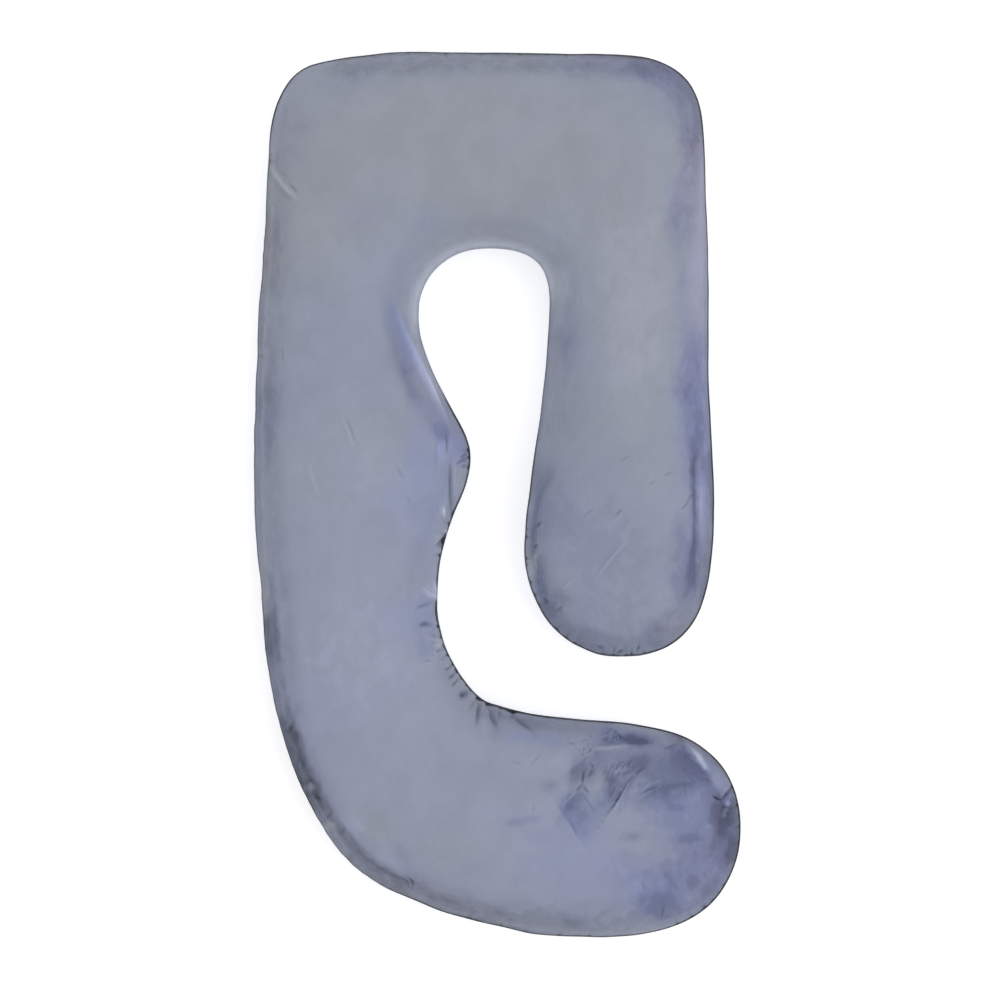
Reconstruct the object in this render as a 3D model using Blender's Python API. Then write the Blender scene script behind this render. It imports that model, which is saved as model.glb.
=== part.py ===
"""Body pillow: a long arm, a short arm and a foot that turns back under the short arm.

It is one filled cushion in velvet, lying on its back. Two panels of one outline meet in a
seam near half height, all round the rim. The filling crowns the top panel. The pillow's own
weight presses the lower panel flat where it lies.

Metres, +Z up and +Y towards the head end. The origin is on the resting surface, under the
middle of the pillow.
"""

import math

import bmesh
import bpy
import numpy as np
from mathutils import Vector
from mathutils.geometry import delaunay_2d_cdt, interpolate_bezier

NAME = "pillow"
COLLECTION = "body_pillow"
MM = 0.001

# Thickness, in metres. A full limb is SEAM_HEIGHT + CROWN thick.
SEAM_HEIGHT = 0.072
CROWN = 0.088
LOWER_CROWN = 0.096
PRESSED_EDGE = 0.006
LIMB_HALF_WIDTH = 0.140

# Spacing of the surface's points, in metres.
SEAM_STEP = 0.022
TOP_STEP = 0.020
LOWER_STEP = 0.027
RIM_DEPTHS = (0.002, 0.007, 0.016)
GRID_GAP = 0.7
CURVE_STEPS = 24

# Velvet, as linear colour.
VELVET_COLOUR = (0.287, 0.308, 0.397, 1.0)
VELVET_ROUGHNESS = 0.85

# The seam's course, clockwise from above, starting at the middle of the head end.
# Columns: place, x in mm, y in mm, heading in degrees from +X towards +Y.
OUTLINE = (
    ("head_middle", -39, 651, 0),
    ("head_right", 185, 647, -3),
    ("corner_right", 279, 611, -50),
    ("right_side_top", 305, 506, -88),
    ("right_side_middle", 311, 212, -90),
    ("short_arm_tip", 185, -240, 180),
    ("short_arm_widest", 41, -79, 88),
    ("short_arm_inner_top", 76, 285, 91),
    ("hollow_right", 55, 345, 139),
    ("hollow_top", -10, 364, 180),
    ("hollow_left", -116, 271, 270),
    ("bump_upper_side", -55, 107, 300),
    ("bump_tip", -37, 53, 270),
    ("bump_lower_side", -67, -38, 250),
    ("knee", -65, -244, 299),
    ("crook", -32, -291, 310),
    ("foot_top_left", 20, -314, 343),
    ("foot_top_right", 323, -389, 313),
    ("foot_tip", 359, -494, 268),
    ("foot_lower_right", 311, -604, 222),
    ("sole", 138, -650, 180),
    ("heel_right", -154, -583, 154),
    ("heel_left", -305, -394, 110),
    ("left_side_low", -355, -68, 94),
    ("left_side_top", -337, 506, 88),
    ("corner_left", -265, 635, 14),
)

# The largest soft folds of the top panel. A fold is a round arc that fades out at its ends.
# Columns: name, start x, start y, end x, end y, bow to its left, half width, rise, all in mm.
FOLDS = (
    ("bump_ridge", -168, 294, -70, 88, 6, 18, 5),
    ("bump_trough", -180, 262, -112, 96, -8, 20, -6),
    ("heel_trough", -322, -338, -128, -566, 42, 22, -7),
    ("crook_dip", -62, -318, -10, -372, 0, 20, -4),
    ("foot_dip", 120, -392, 262, -416, 0, 24, -4),
)


def clear_scene():
    """Remove every object that is already in the scene."""
    for item in list(bpy.data.objects):
        bpy.data.objects.remove(item, do_unlink=True)


def arc_between(start, end):
    """Points of a near-round arc from one place of the outline to the next, in metres."""
    _, start_x, start_y, start_heading = start
    _, end_x, end_y, end_heading = end
    first = Vector((start_x, start_y)) * MM
    last = Vector((end_x, end_y)) * MM
    chord = (last - first).length
    turn = abs(math.radians((end_heading - start_heading + 180) % 360 - 180))
    handle = chord / 3
    if turn > 0.001:
        handle = 4 / 3 * math.tan(turn / 4) * chord / (2 * math.sin(turn / 2))
    leave = Vector((math.cos(math.radians(start_heading)), math.sin(math.radians(start_heading))))
    arrive = Vector((math.cos(math.radians(end_heading)), math.sin(math.radians(end_heading))))
    return interpolate_bezier(first, first + leave * handle, last - arrive * handle, last,
                              CURVE_STEPS)


def seam_loop(step):
    """Evenly spaced points round the seam, centred on the origin."""
    course = []
    for start, end in zip(OUTLINE, OUTLINE[1:] + OUTLINE[:1]):
        course.extend(point.to_2d() for point in arc_between(start, end)[:-1])
    course.append(course[0])
    course = np.array(course)
    travelled = np.concatenate(([0], np.cumsum(np.linalg.norm(np.diff(course, axis=0), axis=1))))
    count = round(travelled[-1] / step)
    places = np.arange(count) * travelled[-1] / count
    loop = np.stack([np.interp(places, travelled, course[:, axis]) for axis in (0, 1)], axis=1)
    middle = (course.min(axis=0) + course.max(axis=0)) / 2
    return loop - middle


def rim_rings(loop):
    """Copies of the seam loop set inwards by each rim depth."""
    along = np.roll(loop, -1, axis=0) - np.roll(loop, 1, axis=0)
    along /= np.linalg.norm(along, axis=1)[:, None]
    inwards = np.stack([along[:, 1], -along[:, 0]], axis=1)
    return [loop + inwards * depth for depth in RIM_DEPTHS]


def seam_distance(points, loop):
    """Distance from each point to the seam, and whether the point is inside it."""
    ends = np.roll(loop, -1, axis=0)
    edge = ends - loop
    offset = points[:, None, :] - loop[None, :, :]
    share = np.clip((offset * edge).sum(axis=2) / (edge * edge).sum(axis=1), 0, 1)
    distance = np.linalg.norm(offset - share[:, :, None] * edge, axis=2).min(axis=1)
    x, y = points[:, :1], points[:, 1:]
    crosses = (loop[:, 1] > y) != (ends[:, 1] > y)
    slope = edge[:, 0] / np.where(edge[:, 1] == 0, 1, edge[:, 1])
    to_the_right = x < loop[:, 0] + (y - loop[:, 1]) * slope
    inside = (crosses & to_the_right).sum(axis=1) % 2 == 1
    return distance, inside


def inner_grid(loop, step):
    """Staggered rows of points across the panel, clear of the rim rings."""
    low, high = loop.min(axis=0), loop.max(axis=0)
    row_step = step * math.sqrt(3) / 2
    points = []
    for row in range(int((high[1] - low[1]) / row_step) + 1):
        shift = step / 2 if row % 2 else 0
        for column in range(int((high[0] - low[0]) / step) + 1):
            points.append((low[0] + shift + column * step, low[1] + row * row_step))
    points = np.array(points)
    distance, inside = seam_distance(points, loop)
    return points[inside & (distance > RIM_DEPTHS[-1] + GRID_GAP * step)]


def panel(loop, step):
    """Flat triangles of one panel. Its first points are the seam loop's."""
    points = np.concatenate([loop, *rim_rings(loop), inner_grid(loop, step)])
    count = len(loop)
    seam_edges = [(index, (index + 1) % count) for index in range(count)]
    result = delaunay_2d_cdt([Vector(point) for point in points], seam_edges, [], 1, 1e-7)
    source = [origins[0] for origins in result[3]]
    triangles = np.array([[source[corner] for corner in face] for face in result[2]])
    return points, triangles


def fullness(points, triangles, seam_count):
    """How far a membrane fixed at the seam rises under even pressure.

    It is 0 at the seam and 1 along the middle of a straight limb.
    """
    count = len(points)
    stiffness = np.zeros((count, count))
    load = np.zeros(count)
    corners = points[triangles]
    side_a = corners[:, 1] - corners[:, 0]
    side_b = corners[:, 2] - corners[:, 0]
    area = np.abs(side_a[:, 0] * side_b[:, 1] - side_a[:, 1] * side_b[:, 0]) / 2
    opposite = np.roll(corners, -1, axis=1) - np.roll(corners, 1, axis=1)
    for first in range(3):
        np.add.at(load, triangles[:, first], area / 3)
        for second in range(3):
            pull = (opposite[:, first] * opposite[:, second]).sum(axis=1) / (4 * area)
            np.add.at(stiffness, (triangles[:, first], triangles[:, second]), pull)
    free = np.arange(seam_count, count)
    rise = np.zeros(count)
    rise[free] = np.linalg.solve(stiffness[np.ix_(free, free)], load[free])
    return 2 * rise / LIMB_HALF_WIDTH ** 2


def crown_profile(full):
    """Rounded limb section: 0 at the seam, 1 on the middle line, slightly more at the head."""
    return np.tanh(np.sqrt(full)) / math.tanh(1)


def fold_rise(points):
    """Height that the folds add to the top panel."""
    rise = np.zeros(len(points))
    for _, start_x, start_y, end_x, end_y, bow, half_width, height in FOLDS:
        start = np.array((start_x, start_y)) * MM
        end = np.array((end_x, end_y)) * MM
        run = end - start
        length = np.linalg.norm(run)
        left = np.array((-run[1], run[0])) / length
        offset = points - start
        along = offset @ run / length ** 2
        inner = np.clip(along, 0, 1)
        across = offset @ left - bow * MM * np.sin(math.pi * inner)
        overrun = (along - inner) * length
        spread = (across ** 2 + overrun ** 2) / (half_width * MM) ** 2
        rise += height * MM * np.exp(-spread) * np.sqrt(np.sin(math.pi * inner) + 0.05)
    return rise


def top_heights(points, full):
    """Height of the top panel: the crown with its folds, which fade out at the seam."""
    crown = crown_profile(full)
    return SEAM_HEIGHT + CROWN * crown + fold_rise(points) * np.minimum(1, 2 * crown ** 2)


def lower_heights(full):
    """Height of the lower panel: a shallower crown, pressed flat on the resting surface."""
    natural = SEAM_HEIGHT - LOWER_CROWN * crown_profile(full)
    rounded = (natural + PRESSED_EDGE) ** 2 / (4 * PRESSED_EDGE)
    height = np.where(natural < PRESSED_EDGE, rounded, natural)
    return np.where(natural < -PRESSED_EDGE, 0, height)


def add_panel(mesh, seam_verts, points, triangles, heights):
    """Add one panel to the mesh, sewn to the seam's points."""
    count = len(seam_verts)
    inner = [mesh.verts.new((x, y, z)) for (x, y), z in zip(points[count:], heights[count:])]
    verts = seam_verts + inner
    for triangle in triangles:
        mesh.faces.new([verts[corner] for corner in triangle])


def join_base(mesh):
    """Make the flat resting area one face before it is cut into triangles again."""
    flat = [face for face in mesh.faces if all(vert.co.z == 0 for vert in face.verts)]
    bmesh.ops.dissolve_faces(mesh, faces=flat, use_verts=True)
    bmesh.ops.triangulate(mesh, faces=mesh.faces)


def velvet():
    """Blue-grey velvet."""
    material = bpy.data.materials.new("velvet")
    material.use_nodes = True
    shader = material.node_tree.nodes["Principled BSDF"]
    shader.inputs["Base Color"].default_value = VELVET_COLOUR
    shader.inputs["Roughness"].default_value = VELVET_ROUGHNESS
    shader.inputs["Metallic"].default_value = 0.0
    material.diffuse_color = VELVET_COLOUR
    return material


def pillow():
    """The filled cushion, as one closed solid."""
    loop = seam_loop(SEAM_STEP)
    mesh = bmesh.new()
    seam_verts = [mesh.verts.new((x, y, SEAM_HEIGHT)) for x, y in loop]

    points, triangles = panel(loop, TOP_STEP)
    full = fullness(points, triangles, len(loop))
    add_panel(mesh, seam_verts, points, triangles, top_heights(points, full))

    points, triangles = panel(loop, LOWER_STEP)
    full = fullness(points, triangles, len(loop))
    add_panel(mesh, seam_verts, points, triangles, lower_heights(full))

    bmesh.ops.recalc_face_normals(mesh, faces=mesh.faces)
    join_base(mesh)
    data = bpy.data.meshes.new(NAME)
    mesh.to_mesh(data)
    mesh.free()
    data.shade_smooth()
    data.materials.append(velvet())
    return bpy.data.objects.new(NAME, data)


def main():
    """Build the pillow in its own collection."""
    clear_scene()
    collection = bpy.data.collections.new(COLLECTION)
    bpy.context.scene.collection.children.link(collection)
    collection.objects.link(pillow())


main()
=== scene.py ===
"""Body pillow in blue-grey velvet, laid on its back on a pale floor.

The cover is two panels sewn together round the rim and filled. Its surface is the membrane
that even pressure gives inside the seam, let out by a cloth simulation where the cover is
slack, with the main folds, creases and gathers laid in one by one.
"""

import math

import bmesh
import bpy
import numpy as np
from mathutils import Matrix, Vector, kdtree, noise
from mathutils.geometry import delaunay_2d_cdt


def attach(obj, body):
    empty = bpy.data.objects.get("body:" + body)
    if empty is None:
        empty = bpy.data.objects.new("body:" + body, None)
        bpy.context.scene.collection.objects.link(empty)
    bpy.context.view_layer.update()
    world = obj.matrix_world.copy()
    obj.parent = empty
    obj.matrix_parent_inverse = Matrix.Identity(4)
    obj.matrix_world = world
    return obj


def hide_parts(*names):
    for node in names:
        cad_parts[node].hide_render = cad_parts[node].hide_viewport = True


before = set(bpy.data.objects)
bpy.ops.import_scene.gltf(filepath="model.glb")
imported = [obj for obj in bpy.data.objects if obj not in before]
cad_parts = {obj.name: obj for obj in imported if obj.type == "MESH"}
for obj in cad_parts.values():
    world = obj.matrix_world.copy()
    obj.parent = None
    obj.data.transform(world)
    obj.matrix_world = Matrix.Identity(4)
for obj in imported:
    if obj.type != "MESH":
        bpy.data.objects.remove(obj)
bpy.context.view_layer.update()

bl_info = {
    "name": "Body pillow",
    "version": (1, 0, 0),
    "blender": (4, 5, 0),
    "location": "3D Viewport > Sidebar > Body Pillow",
    "description": "Builds a filled velvet body pillow around its solid, and the stage it lies on",
    "category": "Object",
}

NODE = "pillow"
PIECE = "velvet_pillow"
MM = 0.001

# How the solid is filled, as in its construction.
LIMB_HALF_WIDTH = 0.140
CROWN = 0.088
LOWER_CROWN = 0.096
PRESSED_EDGE = 0.006

# Depths of the rows of points inside the seam, in metres seen from above.
RIM_DEPTHS = (0.00003, 0.00012, 0.0004, 0.0009, 0.0016, 0.0026)
ROW_DEPTHS = (0.0048, 0.0078, 0.0116, 0.0162, 0.0216)
SLACK_ROW_DEPTHS = (0.0070, 0.0130, 0.0200)

# Clear room between the rows and the grid inside them, as a share of the grid's spacing.
GRID_GAP = 0.62

# Rows of points along a crease: how far off it in half widths, their spacing along it, and
# the clear room round each point in metres.
CREASE_ROWS = (0.0, 0.45, 1.0, 1.8, 2.9)
CREASE_STEP = 0.0026
CREASE_GAP = 0.0011

# Pieces of the seam's curve between two of the solid's corners.
CURVE_PIECES = 12

# Clear room round a point of a row or of the grid, as a share of the points' spacing.
ROW_CLEARANCE = 0.55
GRID_CLEARANCE = 0.6

# Points whose distance to the seam is worked out together.
POINTS_AT_ONCE = 1500

# Points this close are one point, in metres.
MERGE_DISTANCE = 1e-5
SAME_PLACE = 1e-9

# The membrane is solved when its error falls to this share. TINY keeps a division from 0.
SOLVED_SHARE = 1e-12
TINY = 1e-12

# Where the cover has cloth to spare. Columns: place, x mm, y mm, radius mm, share of it.
SLACK = (
    ("knee", -84, -214, 52, 1.0),
    ("crook", -15, -315, 62, 1.0),
    ("waist", -84, -90, 60, 0.7),
    ("bump", -52, 55, 60, 0.8),
    ("bump_fold", -130, 190, 90, 0.6),
    ("heel", -265, -475, 120, 0.8),
    ("heel_low", -150, -575, 90, 0.8),
    ("left_side", -350, -150, 150, 0.4),
    ("foot_top", 165, -410, 105, 0.8),
    ("foot_end", 330, -420, 90, 0.8),
    ("foot_side", 300, -560, 110, 0.6),
    ("sole", 60, -640, 130, 0.4),
    ("short_arm_tip", 150, -225, 100, 0.8),
    ("short_arm_inner", 55, -105, 60, 0.9),
    ("short_arm_side", 300, -10, 130, 0.6),
    ("corner_left", -320, 520, 80, 0.6),
    ("head_end", 60, 640, 170, 0.3),
    ("hollow", -20, 372, 80, 0.4),
)


def smooth_step(value, low=0.0, high=1.0):
    """0 below low, 1 above high and an even curve between."""
    share = np.clip((value - low) / (high - low), 0, 1)
    return share * share * (3 - 2 * share)


def unit_rows(vectors):
    """The vectors, each with length 1."""
    return vectors / np.maximum(np.linalg.norm(vectors, axis=1), TINY)[:, None]


def signed_areas(corners):
    """Twice the area of each flat triangle, negative where its corners go clockwise."""
    side_a = corners[:, 1] - corners[:, 0]
    side_b = corners[:, 2] - corners[:, 0]
    return side_a[:, 0] * side_b[:, 1] - side_a[:, 1] * side_b[:, 0]


def seam_index(loop, x, y):
    """Which of the seam's points is nearest to a place in millimetres."""
    return np.linalg.norm(loop - np.array((x, y)) * MM, axis=1).argmin()


# --- outline ------------------------------------------------------------------------------

def seam_corners():
    """The seam's points in order, clockwise from above, read from the pillow's solid."""
    mesh = bmesh.new()
    mesh.from_mesh(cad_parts[NODE].data)
    bmesh.ops.remove_doubles(mesh, verts=mesh.verts, dist=MERGE_DISTANCE)
    neighbours = {}
    for edge in mesh.edges:
        first, second = edge.link_faces
        if first.normal.z * second.normal.z < 0:
            for vert in edge.verts:
                neighbours.setdefault(vert, []).append(edge.other_vert(vert))
    start = max(neighbours, key=lambda vert: vert.co.y)
    course = [start]
    step = max(neighbours[start], key=lambda vert: vert.co.x)
    while step is not start:
        course.append(step)
        step = next(vert for vert in neighbours[step] if vert is not course[-2])
    corners = np.array([vert.co for vert in course])
    mesh.free()
    return corners


def seam_loop(corners, step):
    """Evenly spaced points on a smooth closed curve through the seam's corners."""
    share = (np.arange(CURVE_PIECES) / CURVE_PIECES)[:, None, None]
    before, after, later = (np.roll(corners, shift, axis=0) for shift in (1, -1, -2))
    course = 0.5 * (
        2 * corners + (after - before) * share
        + (2 * before - 5 * corners + 4 * after - later) * share ** 2
        + (3 * corners - before - 3 * after + later) * share ** 3
    )
    course = course.transpose(1, 0, 2).reshape(-1, 2)
    course = np.concatenate([course, course[:1]])
    travelled = np.concatenate(([0], np.cumsum(np.linalg.norm(np.diff(course, axis=0), axis=1))))
    count = round(travelled[-1] / step)
    places = np.arange(count) * travelled[-1] / count
    return np.stack([np.interp(places, travelled, course[:, axis]) for axis in (0, 1)], axis=1)


def inward(loop):
    """The direction into the pillow at each point of the seam, seen from above."""
    along = unit_rows(np.roll(loop, -1, axis=0) - np.roll(loop, 1, axis=0))
    return np.stack([along[:, 1], -along[:, 0]], axis=1)


def seam_distance(points, loop):
    """Distance from each point to the seam, and whether the point is inside it."""
    ends = np.roll(loop, -1, axis=0)
    edge = ends - loop
    distance = np.empty(len(points))
    inside = np.empty(len(points), bool)
    parts = max(1, len(points) // POINTS_AT_ONCE)
    for part in np.array_split(np.arange(len(points)), parts):
        offset = points[part][:, None, :] - loop[None, :, :]
        share = np.clip((offset * edge).sum(axis=2) / (edge * edge).sum(axis=1), 0, 1)
        distance[part] = np.linalg.norm(offset - share[:, :, None] * edge, axis=2).min(axis=1)
        x, y = points[part][:, :1], points[part][:, 1:]
        crosses = (loop[:, 1] > y) != (ends[:, 1] > y)
        slope = edge[:, 0] / np.where(edge[:, 1] == 0, 1, edge[:, 1])
        right = x < loop[:, 0] + (y - loop[:, 1]) * slope
        inside[part] = (crosses & right).sum(axis=1) % 2 == 1
    return distance, inside


# --- panels -------------------------------------------------------------------------------

def staggered_grid(loop, step):
    """Staggered rows of points over the whole box of the outline."""
    low, high = loop.min(axis=0), loop.max(axis=0)
    row_step = step * math.sqrt(3) / 2
    rows, columns = ((high - low) / (row_step, row_step)).astype(int)[::-1] + 1
    row, column = np.mgrid[0:rows, 0:columns]
    x = low[0] + column * step + (row % 2) * step / 2
    y = low[1] + row * row_step
    return np.stack([x.ravel(), y.ravel()], axis=1)


def thin_out(groups):
    """Keep each group's points that are clear of every point kept before them.

    Each group is (points, clear distance), the most important first.
    """
    cell = max(clear for _, clear in groups)
    kept = {}
    for points, clear in groups:
        for x, y in points:
            column, row = int(x // cell), int(y // cell)
            near = (
                other
                for step_x in (-1, 0, 1)
                for step_y in (-1, 0, 1)
                for other in kept.get((column + step_x, row + step_y), ())
            )
            if all((x - a) ** 2 + (y - b) ** 2 >= clear * clear for a, b in near):
                kept.setdefault((column, row), []).append((x, y))
    return np.array([point for points in kept.values() for point in points])


def panel(loop, first_depth, row_depths, step, crease_rows=()):
    """Flat triangles of one panel inside its first row. The first points are that row's."""
    into = inward(loop)
    edge_row = loop + into * first_depth
    rows = [loop + into * depth for depth in row_depths]
    grid = staggered_grid(loop, step)
    distance, inside = seam_distance(grid, loop[::2])
    grid = grid[inside & (distance > row_depths[-1] + GRID_GAP * step)]
    seam_step = np.linalg.norm(loop[1] - loop[0])
    groups = [(edge_row, 0.0)]
    groups += [(points, CREASE_GAP) for points in crease_rows]
    groups += [(points, ROW_CLEARANCE * seam_step) for points in rows]
    groups.append((grid, GRID_CLEARANCE * step))
    inner = thin_out(groups)
    is_edge = {tuple(point) for point in edge_row}
    inner = np.array([point for point in inner if tuple(point) not in is_edge])
    points = np.concatenate([edge_row, inner])
    count = len(loop)
    edges = [(index, (index + 1) % count) for index in range(count)]
    result = delaunay_2d_cdt([Vector(point) for point in points], edges, [], 1, SAME_PLACE)
    source = np.array([origins[0] for origins in result[3]])
    return points, source[np.array(result[2])]


def ribbon(first, second, count):
    """Triangles between two rows of a closed loop, given the rows' first indices."""
    here = np.arange(count)
    after = (here + 1) % count
    return np.concatenate([
        np.stack([first + here, first + after, second + here], axis=1),
        np.stack([first + after, second + after, second + here], axis=1),
    ])


def fullness(points, triangles, fixed_count):
    """How far a membrane fixed at its first points rises under even pressure.

    It is 0 at the seam and 1 along the middle of a straight limb. The sums are solved by
    conjugate gradients.
    """
    total = len(points)
    corners = points[triangles]
    area = np.maximum(np.abs(signed_areas(corners)) / 2, TINY)
    opposite = np.roll(corners, -1, axis=1) - np.roll(corners, 1, axis=1)
    pairs = [(first, second) for first in range(3) for second in range(3)]
    here = np.concatenate([triangles[:, first] for first, _ in pairs])
    there = np.concatenate([triangles[:, second] for _, second in pairs])
    pull = np.concatenate([
        (opposite[:, first] * opposite[:, second]).sum(axis=1) / (4 * area)
        for first, second in pairs
    ])
    free = np.ones(total)
    free[:fixed_count] = 0
    load = np.bincount(triangles.ravel(), np.repeat(area / 3, 3), total) * free
    own = here == there
    diagonal = np.bincount(here[own], pull[own], total)
    rise = np.zeros(total)
    rest = load.copy()
    step = rest / diagonal
    drop = (rest * step).sum()
    limit = drop * SOLVED_SHARE
    while drop > limit:
        moved = np.bincount(here, pull * step[there], total) * free
        share = drop / (step * moved).sum()
        rise += share * step
        rest -= share * moved
        eased = rest / diagonal
        following = (rest * eased).sum()
        step = eased + following / drop * step
        drop = following
    return 2 * rise / LIMB_HALF_WIDTH ** 2


def crown_profile(full):
    """Rounded limb section: 0 at the seam, 1 on the middle line, slightly more at the head."""
    return np.tanh(np.sqrt(np.maximum(full, 0))) / math.tanh(1)


def lower_profile(full, seam_height):
    """Height of the lower panel: a shallower crown, pressed flat on the resting surface."""
    natural = seam_height - LOWER_CROWN * crown_profile(full)
    rounded = (natural + PRESSED_EDGE) ** 2 / (4 * PRESSED_EDGE)
    height = np.where(natural < PRESSED_EDGE, rounded, natural)
    return np.where(natural < -PRESSED_EDGE, 0, height)


# --- creases ------------------------------------------------------------------------------

# Soft folds of the upper panel. Each is a round arc that fades out at its ends.
# Columns: place, start x, start y, end x, end y, bow to its left, half width, rise, in mm.
FOLDS = (
    ("bump_ridge", -148, 273, -70, 95, 0, 7, 4),
    ("bump_trough", -157, 267, -107, 124, -1.5, 12.4, -5.5),
    ("bump_shoulder", -98, 121, -73, 77, 0, 8.8, -3),
    ("bump_front", -69, 54, -67, -25, 0, 7.3, -1.6),
    ("corner_fold", -335, 490, -293, 428, -2.9, 7.3, -2.5),
    ("knee_dip", -98, -154, -104, -207, 0, 11.7, -2.5),
    ("crook_fold_left", -25, -283, -29, -341, 0, 5, -3),
    ("crook_fold_middle", -19, -291, 3, -350, 1.5, 5.9, -3),
    ("crook_fold_low", -7, -321, -7, -362, 0, 6.6, -2),
    ("crook_fold_right", 1, -303, 60, -348, -1.5, 6.1, -2.8),
    ("crook_ridge_left", -19, -303, -15, -356, 0, 4.1, 2.2),
    ("crook_ridge_right", 1, -313, 36, -347, 0, 5.3, 2.4),
    ("foot_top_dip", 151, -354, 231, -357, 0, 8, -4),
    ("foot_end_dip", 250, -382, 314, -426, 2.9, 13.2, -2),
    ("foot_side_dip", 320, -435, 329, -531, -2.9, 16.1, -1.1),
    ("foot_end_ridge", 278, -363, 316, -407, 1.5, 4.7, 1.4),
    ("crumple_dip", 159, -400, 174, -455, 0, 14.6, -2),
    ("crumple_dip_left", 139, -403, 110, -476, 0, 16.1, -1.8),
    ("crumple_swell", 209, -447, 282, -458, -4.4, 13.2, 2),
    ("short_side_ridge", 300, 48, 298, -54, 0, 5.3, 2.2),
)

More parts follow.
